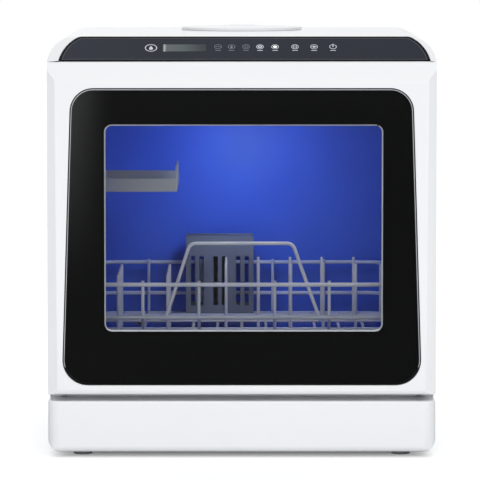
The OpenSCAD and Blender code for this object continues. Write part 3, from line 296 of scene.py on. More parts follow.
looks = {
    "whiteShell": dict(dark=(0.872, 0.879, 0.893), light=(0.884, 0.891, 0.904), roughness=(0.28, 0.34),
                       driftScale=5, grainScale=900, grain=0.04, coat=0.12),
    "whiteSheet": dict(dark=(0.85, 0.858, 0.872), light=(0.87, 0.877, 0.89), roughness=(0.34, 0.42),
                       driftScale=5, grainScale=520, grain=0.12, grainDepth=0.0003),
    "rearSheet": dict(dark=(0.76, 0.77, 0.785), light=(0.785, 0.795, 0.81), roughness=(0.42, 0.5),
                      driftScale=5, grainScale=420, grain=0.18, grainDepth=0.0003),
    "footRubber": dict(dark=(0.2, 0.206, 0.222), light=(0.26, 0.267, 0.284), roughness=(0.6, 0.8),
                       grainScale=700, grain=0.3),
    "sealRubber": dict(dark=(0.03, 0.03, 0.033), light=(0.05, 0.05, 0.055), roughness=(0.5, 0.66),
                       grainScale=900, grain=0.2),
    "screwSteel": dict(dark=(0.48, 0.48, 0.5), light=(0.66, 0.66, 0.68), roughness=(0.22, 0.4),
                       metallic=1.0, grainScale=900, grain=0.12),
    "bandGloss": dict(dark=(0.004, 0.007, 0.018), light=(0.006, 0.01, 0.024), roughness=(0.05, 0.09),
                      driftScale=8, grainScale=300, grain=0.01, ior=1.5),
    "bandRim": dict(dark=(0.0015, 0.0018, 0.003), light=(0.0025, 0.003, 0.005), roughness=(0.3, 0.36),
                    grainScale=300, grain=0.01, sheen=0.12),
    "bandLine": dict(dark=(0.06, 0.065, 0.08), light=(0.09, 0.095, 0.11), roughness=(0.2, 0.3), grain=0.02),
    # black print; on the door pane's lower edge it also serves as painted shade
    "blackPrintAndShade": dict(dark=(0.0012, 0.0012, 0.0012), light=(0.0022, 0.0022, 0.0022), roughness=(0.45, 0.55),
                       driftScale=6, grainScale=2200, grain=0.03, sheen=0.05),
    # painted reflection: the light line along the pane's upper and side edges
    "glassEdgePaintedGleam": dict(dark=(0.5, 0.505, 0.515), light=(0.58, 0.585, 0.595), roughness=(0.14, 0.24),
                      metallic=0.2, grainScale=600, grain=0.03),
    "trimMetal": dict(dark=(0.62, 0.63, 0.65), light=(0.78, 0.79, 0.8), roughness=(0.3, 0.42),
                      metallic=0.45, stretch=(1, 30, 1), grainScale=500, grain=0.06),
    # painted highlight for the trim's lower side: a lighter copy of the trim metal that glows
    "trimPaintedGleam": dict(dark=(0.66, 0.67, 0.69), light=(0.78, 0.79, 0.81), roughness=(0.2, 0.3),
                      stretch=(1, 30, 1), grainScale=500, grain=0.04, glow=(0.9, 0.93, 1.0),
                      glowStrength=1.0),
    # painted shade for the trim's upper side: a dark copy of the trim metal
    "trimPaintedShade": dict(dark=(0.018, 0.02, 0.03), light=(0.03, 0.034, 0.05), roughness=(0.3, 0.4),
                      stretch=(1, 30, 1), grainScale=500, grain=0.04),
    "board": dict(dark=(0.012, 0.07, 0.03), light=(0.02, 0.1, 0.045), roughness=(0.35, 0.5), grain=0.05),
    "tankPlastic": dict(dark=(0.55, 0.6, 0.66), light=(0.64, 0.69, 0.74), roughness=(0.35, 0.5), grain=0.1),
    # the tub's blue is partly the liner's own tint and partly painted blue light from the LEDs
    "tubLinerAndBlueLight": dict(dark=(0.044, 0.12, 0.56), light=(0.053, 0.145, 0.64), roughness=(0.3, 0.42),
                     driftScale=9, grainScale=800, grain=0.06),
    "darkPlastic": dict(dark=(0.018, 0.018, 0.02), light=(0.032, 0.032, 0.035), roughness=(0.4, 0.55),
                        grainScale=1100, grain=0.22),
    "motorMetal": dict(dark=(0.45, 0.46, 0.48), light=(0.6, 0.61, 0.63), roughness=(0.3, 0.45),
                       metallic=1.0, stretch=(1, 40, 40), grain=0.1),
    "impeller": dict(dark=(0.55, 0.24, 0.06), light=(0.66, 0.3, 0.08), roughness=(0.4, 0.5), grain=0.1),
    "hoseRubber": dict(dark=(0.03, 0.03, 0.032), light=(0.05, 0.05, 0.052), roughness=(0.5, 0.65),
                       grainScale=600, grain=0.2),
    "heaterSteel": dict(dark=(0.45, 0.45, 0.47), light=(0.62, 0.62, 0.64), roughness=(0.18, 0.32),
                        metallic=1.0, driftScale=40, grain=0.05),
    "ledLens": dict(dark=(0.5, 0.65, 1.0), light=(0.6, 0.72, 1.0), roughness=(0.2, 0.3), grain=0.04,
                    glow=(0.32, 0.5, 1.0), glowStrength=2.5),
    "runnerPlastic": dict(dark=(0.46, 0.48, 0.51), light=(0.54, 0.56, 0.59), roughness=(0.35, 0.5),
                          grain=0.1),
    "doorLiner": dict(dark=(0.5, 0.52, 0.55), light=(0.57, 0.59, 0.62), roughness=(0.3, 0.42),
                      grainScale=700, grain=0.1),
    "coverGrey": dict(dark=(0.22, 0.24, 0.27), light=(0.28, 0.3, 0.33), roughness=(0.3, 0.4), grain=0.12),
    "rackCoat": dict(dark=(0.62, 0.625, 0.65), light=(0.7, 0.705, 0.725), roughness=(0.3, 0.42),
                     driftScale=30, grainScale=700, grain=0.12, coat=0.3),
    "shelfGrey": dict(dark=(0.36, 0.365, 0.37), light=(0.41, 0.415, 0.42), roughness=(0.38, 0.5),
                      grainScale=1000, grain=0.15),
    "basketGrey": dict(dark=(0.16, 0.17, 0.2), light=(0.2, 0.21, 0.24), roughness=(0.38, 0.5),
                       grainScale=1000, grain=0.15),
    "filterSteel": dict(dark=(0.42, 0.43, 0.45), light=(0.56, 0.57, 0.59), roughness=(0.25, 0.4),
                        metallic=1.0, grainScale=500, grain=0.2),
    "armGrey": dict(dark=(0.56, 0.58, 0.62), light=(0.63, 0.65, 0.69), roughness=(0.32, 0.45), grain=0.1),
    "faintInk": dict(dark=(0.18, 0.19, 0.23), light=(0.23, 0.24, 0.28), roughness=(0.3, 0.4), grain=0.02),
    "printInk": dict(dark=(0.5, 0.52, 0.55), light=(0.62, 0.64, 0.67), roughness=(0.3, 0.4), grain=0.02,
                     glow=(0.8, 0.85, 0.9), glowStrength=0.12),
    "brightInk": dict(dark=(0.8, 0.82, 0.84), light=(0.9, 0.91, 0.92), roughness=(0.3, 0.4), grain=0.02,
                      glow=(0.95, 1.0, 0.98), glowStrength=0.5),
}
paint = {name: surface(name, finish) for name, finish in looks.items()}

paneLook = dict(
    tint=(0.98, 0.985, 0.99), gloss=0.02, ior=1.45,
    filmScale=9, filmDetail=2.0, filmDark=(0.93, 0.95, 0.97), filmLight=(1.0, 1.0, 1.0),
)


def paneGlass(name, look):  # clear pane: it lets the view through and reflects more at a slant
    material, tree, shader, place = startMaterial(name)
    clear = tree.nodes.new("ShaderNodeBsdfTransparent")
    clear.inputs["Color"].default_value = (*look["tint"], 1)
    shine = tree.nodes.new("ShaderNodeBsdfGlossy")
    shine.inputs["Roughness"].default_value = look["gloss"]
    film = addNoise(tree, place.outputs["Object"], look["filmScale"], look["filmDetail"])
    tone = addRamp(tree, film.outputs["Fac"], [(noiseLow, look["filmDark"]), (noiseHigh, look["filmLight"])])
    tree.links.new(tone.outputs["Color"], shine.inputs["Color"])
    slant = tree.nodes.new("ShaderNodeFresnel")
    slant.inputs["IOR"].default_value = look["ior"]
    mix = tree.nodes.new("ShaderNodeMixShader")
    tree.links.new(slant.outputs["Fac"], mix.inputs["Fac"])
    tree.links.new(clear.outputs["BSDF"], mix.inputs[1])
    tree.links.new(shine.outputs["BSDF"], mix.inputs[2])
    tree.links.new(mix.outputs["Shader"], tree.nodes["Material Output"].inputs["Surface"])
    tree.nodes.remove(shader)
    return material


clearGlass = paneGlass("clearGlass", paneLook)
print("materials ready")

doorLook = dict(
    low=(-0.215, -0.2175, 0.07), high=(0.215, -0.1775, 0.4378),
    side=(0.011, 0.008), top=(0.0218, 0.01308),  # each slant's width and depth
    lipBack=-0.2039, lipFoot=0.436,  # the lip along the top: its back and its lower edge
    foot=0.0065, footSteps=8, crease=0.0035, creaseSteps=5,  # rounded edges
    rim=0.004, web=-0.2066, seat=-0.2126,  # the walls, the inner side of the front, the bed of the glass
    ahead=-0.23, windowBack=-0.2, windowGrow=0.006,
    slotX=0.198, slotHalf=0.0037, slotY=(-0.2085, -0.17), slotZ=(0.06, 0.0895),  # room for the hinges
)
glassLook = dict(
    z=(0.082, 0.4085), lowHalf=0.198, highHalf=0.1875, lowRadius=0.028, highRadius=0.024, cornerSteps=14,
    front=-0.2172, back=-0.2133, edge=0.001, gap=0.0013,
    sideLimit=0.3, footLimit=0.2,  # shares of a normal that tell the rim and the lower edge from the front
)
windowLook = dict(x=(-0.15025, 0.15425), z=(0.142, 0.368), radius=0.007, cornerSteps=8)


def glassBlock(name, grow, front, back):  # the pane's outline: narrower at the top, with big corners
    look = glassLook
    lowHalf, highHalf = look["lowHalf"] + grow, look["highHalf"] + grow
    block = addBlock(name, (-lowHalf, front, look["z"][0] - grow), (lowHalf, back, look["z"][1] + grow))
    pick(block, "FACE", facing((0, 0, 1)))
    bpy.ops.transform.resize(value=(highHalf / lowHalf, 1, 1))
    leaveEdit()
    centre = sum(look["z"]) / 2
    for test, radius in (
        (lambda e: runsAlong(e, 1) and middle(e).z < centre, look["lowRadius"] + grow),
        (lambda e: runsAlong(e, 1) and middle(e).z > centre, look["highRadius"] + grow),
    ):
        roundCorners(block, test, radius, look["cornerSteps"])
    return block


def windowBlock(name, grow, front, back):  # the window's outline, with round corners
    look = windowLook
    (left, right), (low, high) = look["x"], look["z"]
    block = addBlock(name, (left - grow, front, low - grow), (right + grow, back, high + grow))
    roundCorners(block, lambda e: runsAlong(e, 1), look["radius"] + grow, look["cornerSteps"])
    return block


def slantDoor(door):  # the sides and the top fall back from the front
    (x0, y0, _), (x1, _, z1) = doorLook["low"], doorLook["high"]
    sideWide, sideDeep = doorLook["side"]
    topWide, topDeep = doorLook["top"]
    slants = [
        ((x0 + sideWide, y0, 0), (-sideDeep, -sideWide, 0)),
        ((x1 - sideWide, y0, 0), (sideDeep, -sideWide, 0)),
        ((0, y0, z1 - topWide), (0, -topWide, topDeep)),
    ]
    for place, outward in slants:
        editAll(door)
        bpy.ops.mesh.bisect(plane_co=place, plane_no=Vector(outward).normalized(),
                            use_fill=True, clear_outer=True)
        leaveEdit()


def modelDoorShell():
    look = doorLook
    (x0, y0, z0), (x1, y1, z1) = look["low"], look["high"]
    rim, seat, ahead = look["rim"], look["seat"], look["ahead"]
    door = addBlock("doorShell", look["low"], look["high"])
    slantDoor(door)
    cut(door, addBlock("lipCut", (x0 - past, look["lipBack"], look["lipFoot"]),
                       (x1 + past, y1 + past, z1 + past)))
    roundCorners(door, lambda e: runsAlong(e, 0) and middle(e).z < z0 + hair and middle(e).y < y0 + hair,
                 look["foot"], look["footSteps"])
    overFoot = z0 + look["foot"] + hair
    roundCorners(door, lambda e: all(v.co.y < y0 + hair for v in e.verts) and middle(e).z > overFoot,
                 look["crease"], look["creaseSteps"])
    cut(door, glassBlock("paneCut", glassLook["gap"], ahead, seat))
    cut(door, windowBlock("windowCut", look["windowGrow"], ahead, look["windowBack"]))
    cut(door, addBlock("hollowCut", (x0 + rim, look["web"], z0 + rim),
                       (x1 - rim, y1 + past, look["lipFoot"] - rim)))
    (slotFront, slotBack), (slotLow, slotHigh) = look["slotY"], look["slotZ"]
    for side in (-1, 1):
        slotX = side * look["slotX"]
        cut(door, addBlock("slotCut", (slotX - look["slotHalf"], slotFront, slotLow),
                           (slotX + look["slotHalf"], slotBack, slotHigh)))
    door.data.materials.append(paint["whiteShell"])
    door.data.materials.append(paint["sealRubber"])
    pick(door, "FACE", lambda f: f.normal.y < -mostly and abs(middle(f).y - seat) < 2 * hair)
    paintPicked(door, 1)  # the glass lies on a dark gasket
    leaveEdit()
    return settle(door, "door", ["door_frame"], "white_shell")


def modelDoorGlass():
    look = glassLook
    pane = glassBlock("doorPane", 0, look["front"], look["back"])
    for finish in (clearGlass, paint["glassEdgePaintedGleam"], paint["blackPrintAndShade"]):
        pane.data.materials.append(finish)
    pick(pane, "EDGE", lambda e: all(v.co.y < look["front"] + weld for v in e.verts))
    bpy.ops.mesh.bevel(offset=look["edge"], segments=1, affect="EDGES", material=1)
    leaveEdit()
    side, foot = look["sideLimit"], look["footLimit"]
    pick(pane, "FACE", lambda f: abs(f.normal.y) < side or (f.normal.z < -foot and f.normal.y < -side))
    paintPicked(pane, 2)  # the rim is painted dark, and the lower edge is painted dark as painted shade
    leaveEdit()
    return settle(pane, "door", ["door_glass"], "door_glass", angle=20)


modelDoorShell()
modelDoorGlass()
print("door shell and glass ready")

softLook = {  # each copy's softened edges: their width, their steps and the least angle that is softened
    "topShell": dict(soft=0.0009, segments=3, angle=24),
    "leftSide": dict(soft=0.0006, segments=2),
    "rightSide": dict(soft=0.0006, segments=2),
    "fillLid": dict(soft=0.0005, segments=3, angle=30),
    "rubberFeet": dict(soft=0.0009, segments=3),
    "cupShelf": dict(soft=0.0006, segments=2),
    "cutleryBasket": dict(soft=0.0004, segments=2),
}


def softCopy(node, name, body, slotName, finish):
    return settle(copyOf(node, name, **softLook[name]), body, [node], slotName, paint[finish])


softCopy("top_cover", "topShell", "cabinet", "white_shell", "whiteShell")

baseLook = dict(rimZ=(0.0629, 0.064), rimX=0.2, rimY=-0.2, radius=0.0022, steps=5, smoothAngle=24)


def modelBase():  # the plinth with its upper outer edge rounded
    look = baseLook
    low, high = look["rimZ"]
    base = copyOf("base_tray", "baseShell")

    def upperRim(edge):
        spot, sides = middle(edge), edge.link_faces
        outward = Vector((spot.x, spot.y, 0))
        outside = low < spot.z < high and (spot.y < look["rimY"] or abs(spot.x) > look["rimX"])
        return (outside and any(f.normal.z > mostly for f in sides)
                and any(abs(f.normal.z) < hardly and f.normal.dot(outward) > hardly for f in sides))

    roundCorners(base, upperRim, look["radius"], look["steps"])
    return settle(base, "cabinet", ["base_tray"], "white_shell", paint["whiteShell"],
                  angle=look["smoothAngle"])


grooveLook = dict(
    y=(-0.17, -0.1685), z=(0.063, 0.0745), spans=((0.1902, 0.1953), (0.2007, 0.2128)),
    soft=0.0003, softSteps=2,
)


def modelGrooveEnds():  # strips on both sides of each hinge bracket close the back of the groove
    look = grooveLook
    (front, back), (low, high) = look["y"], look["z"]
    strips = []
    for side in (-1, 1):
        for span in look["spans"]:
            left, right = sorted(side * x for x in span)
            strips.append(addBlock("grooveEnds", (left, front, low), (right, back, high)))
    ends = joinTo(strips[0], strips[1:])
    soften(ends, look["soft"], look["softSteps"])
    return settle(ends, "cabinet", [], "white_shell", paint["whiteShell"])


modelBase()
modelGrooveEnds()
softCopy("side_panel_left", "leftSide", "cabinet", "white_panel", "whiteSheet")
softCopy("side_panel_right", "rightSide", "cabinet", "white_panel", "whiteSheet")
softCopy("fill_lid", "fillLid", "fill_lid", "white_shell", "whiteShell")
softCopy("feet", "rubberFeet", "cabinet", "foot_rubber", "footRubber")
softCopy("cup_shelf", "cupShelf", "cup_shelf", "shelf_grey", "shelfGrey")
softCopy("cutlery_basket", "cutleryBasket", "cutlery_basket", "basket_grey", "basketGrey")

trimLook = dict(soft=0.0002, softSteps=2, side=0.0012)


def modelWindowTrim():  # its lower side is painted bright and glows as a painted highlight, its upper side is painted dark as painted shade
    look = trimLook
    low, high = windowLook["z"]
    trim = copyOf("window_trim", "windowTrim", look["soft"], look["softSteps"])
    trim.material_slots[0].material = paint["trimMetal"]
    for slotIndex, finish, test in (
        (1, "trimPaintedGleam", lambda f: middle(f).z < low + look["side"]),
        (2, "trimPaintedShade", lambda f: middle(f).z > high - look["side"]),
    ):
        trim.data.materials.append(paint[finish])
        pick(trim, "FACE", test)
        paintPicked(trim, slotIndex)
        leaveEdit()
    return settle(trim, "door", ["window_trim"], "trim_metal")


modelWindowTrim()
print("shell copies ready")

bandLook = dict(
    foot=(0, -0.2035, 0.439), tilt=35.84, rimWide=0.0022, lineWide=0.0009,
    soft=0.0004, softSteps=3, angle=30, faceLimit=0.9995,
)


def layOnBand(piece):  # a piece drawn flat, u to the right and v up, is tilted onto the band
    piece.rotation_euler = (math.radians(bandLook["tilt"]), 0, 0)
    piece.location = bandLook["foot"]
    applyPlace(piece)
    return piece


def modelBandGlass():  # a dark border and a fine lighter line run round the band
    look = bandLook
    glass = copyOf("control_glass", "bandGlass", look["soft"], look["softSteps"], look["angle"])
    glass.material_slots[0].material = paint["bandGloss"]
    glass.data.materials.append(paint["bandRim"])
    glass.data.materials.append(paint["bandLine"])
    tilt = math.radians(look["tilt"])
    pick(glass, "FACE", facing((0, -math.sin(tilt), math.cos(tilt)), look["faceLimit"]))
    for slotIndex, wide in ((1, look["rimWide"]), (2, look["lineWide"])):
        paintPicked(glass, slotIndex)
        bpy.ops.mesh.inset(thickness=wide, depth=0)
    paintPicked(glass, 0)
    leaveEdit()
    return settle(glass, "cabinet", ["control_glass"], "band_glass", angle=look["angle"])


inkLook = dict(
    thick=0.00006, sides=28, coreTall=0.001,
    dropSides=24, dropTip=0.97, dropPull=1.1, dropReach=1.3,  # the last three as shares of the drop's size
)


def inkBar(u, v, wide, tall):
    return addBlock("bar", (u - wide / 2, v - tall / 2, 0), (u + wide / 2, v + tall / 2, inkLook["thick"]))


def inkRod(u, v, z, radius, tall, stretch, sides):
    deselectAll()
    bpy.ops.mesh.primitive_cylinder_add(vertices=sides, radius=radius, depth=tall, location=(u, v, z),
                                        scale=(1, stretch, 1))
    rod = bpy.context.active_object
    applyPlace(rod)
    return rod


def inkRing(u, v, outer, inner, stretch=1.0, sides=inkLook["sides"]):
    thick = inkLook["thick"]
    ring = inkRod(u, v, thick / 2, outer, thick, stretch, sides)
    if inner:
        cut(ring, inkRod(u, v, 0, inner, inkLook["coreTall"], stretch, sides))
    return ring


def inkDrop(u, v, size):  # a disc with its top drawn up to a point
    look = inkLook
    drop = inkRing(u, v, size, 0, sides=look["dropSides"])
    pick(drop, "EDGE", lambda e: runsAlong(e, 2) and middle(e).y > v + size * look["dropTip"])
    bpy.ops.transform.translate(value=(0, size * look["dropPull"], 0), use_proportional_edit=True,
                                proportional_edit_falloff="SHARP",
                                proportional_size=size * look["dropReach"])
    leaveEdit()
    return drop


def inkPiece(name, parts, ink):
    piece = layOnBand(joinTo(parts[0], parts[1:]))
    piece.name = name
    return settle(piece, "cabinet", [], "display", paint[ink])


glyphLook = dict(  # sizes are (outer, inner) for a ring and (wide, tall) for a bar
    v=0.0257, places=(-0.0264, -0.0114, 0.0046, 0.0201, 0.0368, 0.0589, 0.08, 0.101), faint=3,
    ring=(0.0041, 0.0034), line=(0.0062, 0.0009), lineBelow=0.0066,
    dash=(0.0044, 0.0008), drop=0.0016, dropBelow=0.0008,
    pair=(0.0044, 0.0007), pairAbove=0.0013, pairBelow=0.001,
    loop=(0.0024, 0.001), lit=0.0021, post=(0.0009, 0.005), postAside=0.0013,
    beam=(0.0048, 0.0009), dot=0.0016, stem=(0.001, 0.0056), stemAbove=0.0024,
    bigU=-0.1005, bigV=0.0236, bigRing=(0.0068, 0.0058), bigStretch=0.95, bigSides=40,
    bigDrop=0.0022, bigDropBelow=0.0012,
)


def modelGlyphs():  # faint signs at the left, clear ones at the right, one lit
    look = glyphLook
    u, v, faint = look["places"], look["v"], look["faint"]
    bigU, bigV = look["bigU"], look["bigV"]
    rings = [inkRing(at, v, *look["ring"]) for at in u]
    lines = [inkBar(at, v - look["lineBelow"], *look["line"]) for at in u]
    inkPiece("faintGlyphs", rings[:faint] + lines[:faint] + [
        inkBar(u[0], v, *look["dash"]),
        inkDrop(u[1], v - look["dropBelow"], look["drop"]),
        inkBar(u[2], v + look["pairAbove"], *look["pair"]),
        inkBar(u[2], v - look["pairBelow"], *look["pair"]),
    ], "faintInk")
    inkPiece("bandGlyphs", rings[faint:] + lines[faint:] + [
        inkRing(bigU, bigV, *look["bigRing"], look["bigStretch"], look["bigSides"]),
        inkDrop(bigU, bigV - look["bigDropBelow"], look["bigDrop"]),
        inkBar(u[5] - look["postAside"], v, *look["post"]),
        inkBar(u[5] + look["postAside"], v, *look["post"]),
        inkBar(u[6], v, *look["beam"]),
        inkRing(u[6], v, look["dot"], 0),
        inkBar(u[7], v + look["stemAbove"], *look["stem"]),
        inkRing(u[3], v, *look["loop"]),
    ], "printInk")
    inkPiece("litGlyph", [inkRing(u[4], v, look["lit"], 0)], "brightInk")


screenLook = dict(
    u=(-0.0873, -0.0393), v=(0.0171, 0.0297), thick=0.00025, radius=0.0008, steps=4,
    edge=0.0001, edgeSteps=2,
    gleam=[  # a painted highlight, from the left edge to the right one
        (0.0, (0.05, 0.055, 0.06)), (0.03, (0.4, 0.43, 0.44)), (0.08, (0.105, 0.115, 0.12)),
        (0.45, (0.08, 0.1, 0.105)), (0.8, (0.04, 0.05, 0.055)), (1.0, (0.025, 0.03, 0.036)),
    ],
    glow=0.09, roughness=(0.16, 0.26), fogScale=260, fogDetail=2.0,
)


def lcdPaintedGleam(look):  # a painted highlight: bright at the left and fading to the right, and the same colour glows
    left, right = look["u"]
    material, tree, shader, place = startMaterial("lcdPaintedGleam")
    mapping = tree.nodes.new("ShaderNodeMapping")
    mapping.inputs["Location"].default_value = (-left / (right - left), 0, 0)
    mapping.inputs["Scale"].default_value = (1 / (right - left), 1, 1)
    tree.links.new(place.outputs["Object"], mapping.inputs["Vector"])
    axes = tree.nodes.new("ShaderNodeSeparateXYZ")
    tree.links.new(mapping.outputs["Vector"], axes.inputs["Vector"])
    ramp = addRamp(tree, axes.outputs["X"], look["gleam"])
    tree.links.new(ramp.outputs["Color"], shader.inputs["Base Color"])
    tree.links.new(ramp.outputs["Color"], shader.inputs["Emission Color"])
    shader.inputs["Emission Strength"].default_value = look["glow"]
    fog = addNoise(tree, place.outputs["Object"], look["fogScale"], look["fogDetail"])
    low, high = look["roughness"]
    tree.links.new(spread(tree, fog.outputs["Fac"], low, high), shader.inputs["Roughness"])
    return material


def modelScreen():
    look = screenLook
    (left, right), (low, high), thick = look["u"], look["v"], look["thick"]
    screen = addBlock("lcdScreen", (left, low, 0), (right, high, thick))
    roundCorners(screen, lambda e: runsAlong(e, 2), look["radius"], look["steps"])
    roundCorners(screen, lambda e: all(v.co.z > thick - hair for v in e.verts), look["edge"],
                 look["edgeSteps"])
    layOnBand(screen)
    return settle(screen, "cabinet", [], "display", lcdPaintedGleam(look))


modelBandGlass()
modelGlyphs()
modelScreen()
print("control band ready")

wireLook = dict(bendSteps=6, mostBend=0.45, roundness=3, smoothAngle=60)


def bent(points, radius, closed=False):  # the corners of a path turned into arcs
    steps, most = wireLook["bendSteps"], wireLook["mostBend"]
    path = []
    count = len(points)
    for index, point in enumerate(points):
        corner = Vector(point)
        if not closed and index in (0, count - 1):
            path.append(corner)
            continue
        back = Vector(points[index - 1]) - corner
        ahead = Vector(points[(index + 1) % count]) - corner
        half = back.angle(ahead) / 2
        reach = min(radius / math.tan(half), most * back.length, most * ahead.length)
        turn = reach * math.tan(half)
        centre = corner + (back.normalized() + ahead.normalized()).normalized() * (turn / math.sin(half))
        start = corner + back.normalized() * reach - centre
        end = corner + ahead.normalized() * reach - centre
        sweep = start.angle(end)
        for step in range(steps + 1):
            share = step / steps
            arc = start * math.sin((1 - share) * sweep) + end * math.sin(share * sweep)
            path.append(centre + arc / math.sin(sweep))
    return path


def addWire(name, points, radius, bend=0.0, closed=False):
    path = bent(points, bend, closed) if bend else [Vector(p) for p in points]
    curve = bpy.data.curves.new(name, "CURVE")
    curve.dimensions = "3D"
    curve.bevel_depth = radius
    curve.bevel_resolution = wireLook["roundness"]
    curve.use_fill_caps = True
    spline = curve.splines.new("POLY")
    spline.points.add(len(path) - 1)
    for spot, place in zip(spline.points, path):
        spot.co = (*place, 1)
    spline.use_cyclic_u = closed
    wire = bpy.data.objects.new(name, curve)
    bpy.context.collection.objects.link(wire)
    activate(wire)
    bpy.ops.object.convert(target="MESH")
    wire = bpy.context.active_object
    editAll(wire)
    bpy.ops.mesh.remove_doubles(threshold=weld)
    bpy.ops.mesh.normals_make_consistent(inside=False)
    leaveEdit()
    return wire


def copyShifted(piece, shift):
    activate(piece)
    bpy.ops.object.duplicate()
    twin = bpy.context.active_object
    twin.location = shift
    applyPlace(twin)
    return twin


rackLook = dict(
    half=0.168, front=-0.157, back=0.132, rails=(0.15, 0.187), rail=0.0024, corner=0.018,
    wire=0.0018, floor=0.126, floorFront=-0.137, floorRim=0.002,
    bars=dict(firstX=-0.14, step=0.028, count=11),
    cross=dict(firstY=-0.08, rise=0.0032, shifts=(0.09, 0.155)),
)


def wireLoop(name, front, z, radius):
    look = rackLook
    half, back = look["half"], look["back"]
    corners = [(-half, front, z), (half, front, z), (half, back, z), (-half, back, z)]
    return addWire(name, corners, radius, look["corner"], True)


def modelRackFloor():  # a rim, the bars that run back from it, and three cross wires on the bars
    look = rackLook
    z, wire, half, front = look["floor"], look["wire"], look["half"], look["floorFront"]
    bars, cross = look["bars"], look["cross"]
    x, y, rise = bars["firstX"], cross["firstY"], z + cross["rise"]
    pieces = [wireLoop("rackFloor", front, z, look["floorRim"])]
    bar = addWire("floorWire", [(x, front, z), (x, look["back"], z)], wire)
    pieces += [bar] + [copyShifted(bar, (bars["step"] * step, 0, 0)) for step in range(1, bars["count"])]
    first = addWire("crossWire", [(-half, y, rise), (half, y, rise)], wire)
    pieces += [first] + [copyShifted(first, (0, shift, 0)) for shift in cross["shifts"]]
    return joinTo(pieces[0], pieces[1:])


def modelRackRails():
    look = rackLook
    rails = [wireLoop("rackRails", look["front"], z, look["rail"]) for z in look["rails"]]
    return joinTo(rails[0], rails[1:])


postLook = dict(x=(-0.111, -0.048, 0.037, 0.098), y=(-0.09, -0.01, 0.07), bend=0.006, foot=0.003, top=0.004)


def modelRackPosts():  # the front ones bend up from the floor, and all of them stand inside the rails
    look, posts = rackLook, postLook
    wire, floor, (low, high) = look["wire"], look["floor"], look["rails"]
    inside = look["rail"] + wire
    front, back, side = look["front"] + inside, look["back"] - inside, look["half"] - inside
    foot, top = floor + posts["foot"], high + posts["top"]
    pieces = []
    for x in posts["x"]:
        bentPath = [(x, look["floorFront"], foot), (x, front, low), (x, front, top)]
        pieces.append(addWire("post", bentPath, wire, posts["bend"]))
        pieces.append(addWire("post", [(x, back, foot), (x, back, top)], wire))
    for x in (-side, side):
        pieces += [addWire("post", [(x, y, floor), (x, y, top)], wire) for y in posts["y"]]
    piece = joinTo(pieces[0], pieces[1:])
    piece.name = "rackPosts"
    return piece


handleLook = dict(
    foot=(-0.086, 0.088), top=(-0.058, 0.057), topZ=0.233, below=0.004, ahead=0.0024,
    wire=0.0021, bend=0.009,
)


def modelRackHandle():
    look, rack = handleLook, rackLook
    (footLeft, footRight), (topLeft, topRight), top = look["foot"], look["top"], look["topZ"]
    y = rack["front"] + rack["rail"] + look["ahead"]
    foot = rack["rails"][0] - look["below"]
    path = [(footLeft, y, foot), (topLeft, y, top), (topRight, y, top), (footRight, y, foot)]
    return addWire("rackHandle", path, look["wire"], look["bend"])


tineLook = dict(
    wire=0.0017, tall=0.0718, dome=((0.0007, 0.86), (0.0005, 0.6)), perRow=5,
    plates=dict(firstX=-0.018, step=0.037, rows=(-0.08, 0.01), rise=0.0048),
    cups=dict(firstY=-0.11, step=0.034, rows=(-0.14, -0.084), rise=0.0016, shorter=0.0068),
)


def modelTines():  # two rows across the rack for plates, and two shorter ones along it at the left
    look, floor = tineLook, rackLook["floor"]
    plates, cups, steps = look["plates"], look["cups"], range(look["perRow"])
    tine = addWire("rackTines", [(0, 0, 0), (0, 0, look["tall"])], look["wire"])
    pick(tine, "FACE", facing((0, 0, 1)))  # each tip gets a small dome
    for rise, share in look["dome"]:
        bpy.ops.mesh.extrude_region_move(TRANSFORM_OT_translate={"value": (0, 0, rise)})
        bpy.ops.transform.resize(value=(share, share, 1))
    leaveEdit()
    tall = [copyShifted(tine, (plates["firstX"] + plates["step"] * step, y, floor + plates["rise"]))
            for y in plates["rows"] for step in steps]
    short = [copyShifted(tine, (x, cups["firstY"] + cups["step"] * step, floor + cups["rise"]))
             for x in cups["rows"] for step in steps]
    for twin in short:
        pick(twin, "FACE", lambda f: middle(f).z > floor + look["tall"] / 2)
        bpy.ops.transform.translate(value=(0, 0, -cups["shorter"]))
        leaveEdit()
    bpy.data.objects.remove(tine)
    tines = joinTo(tall[0], tall[1:] + short)
    tines.name = "rackTines"
    return tines


for model, node in (
    (modelRackFloor, "rack_floor"), (modelRackRails, "rack_rails"), (modelRackPosts, "rack_uprights"),
    (modelRackHandle, "rack_handle"), (modelTines, "rack_tines"),
):
    settle(model(), "rack", [node], "rack_coat", paint["rackCoat"], angle=wireLook["smoothAngle"])
print("rack ready")

# the nodes that keep their own shape get their finishes
dress(paint["rearSheet"], "rear_panel")
dress(paint["screwSteel"], "rear_screws", "lid_pin", "hinge_pins", "hinge_brackets")
dress(paint["board"], "control_board")
dress(paint["darkPlastic"], "display_module", "lock_body", "sump", "spray_manifold", "wash_pump_housing",
      "drain_pump_body", "fan_housing", "inlet_valve", "drain_spigot", "cord_gland", "window_liner",
      "fan_blades")
dress(paint["tankPlastic"], "fill_funnel", "water_tank")
dress(paint["tubLinerAndBlueLight"], "tub")
dress(paint["sealRubber"], "tub_seal")
dress(paint["motorMetal"], "wash_pump_motor")
dress(paint["impeller"], "wash_impeller", "drain_impeller")
dress(paint["hoseRubber"], "wash_pump_hose", "drain_hose", "tank_outlet_hose", "feed_pipe")
dress(paint["heaterSteel"], "heater", "latch_hook")
dress(paint["ledLens"], "led_strip")
dress(paint["runnerPlastic"], "rack_runners", "rack_glides", "shelf_bracket", "detergent_cup")
dress(paint["blackPrintAndShade"], "glass_mask")
dress(clearGlass, "inner_glass")
dress(paint["doorLiner"], "door_inner_panel")
dress(paint["coverGrey"], "detergent_cover")
dress(paint["filterSteel"], "filter")
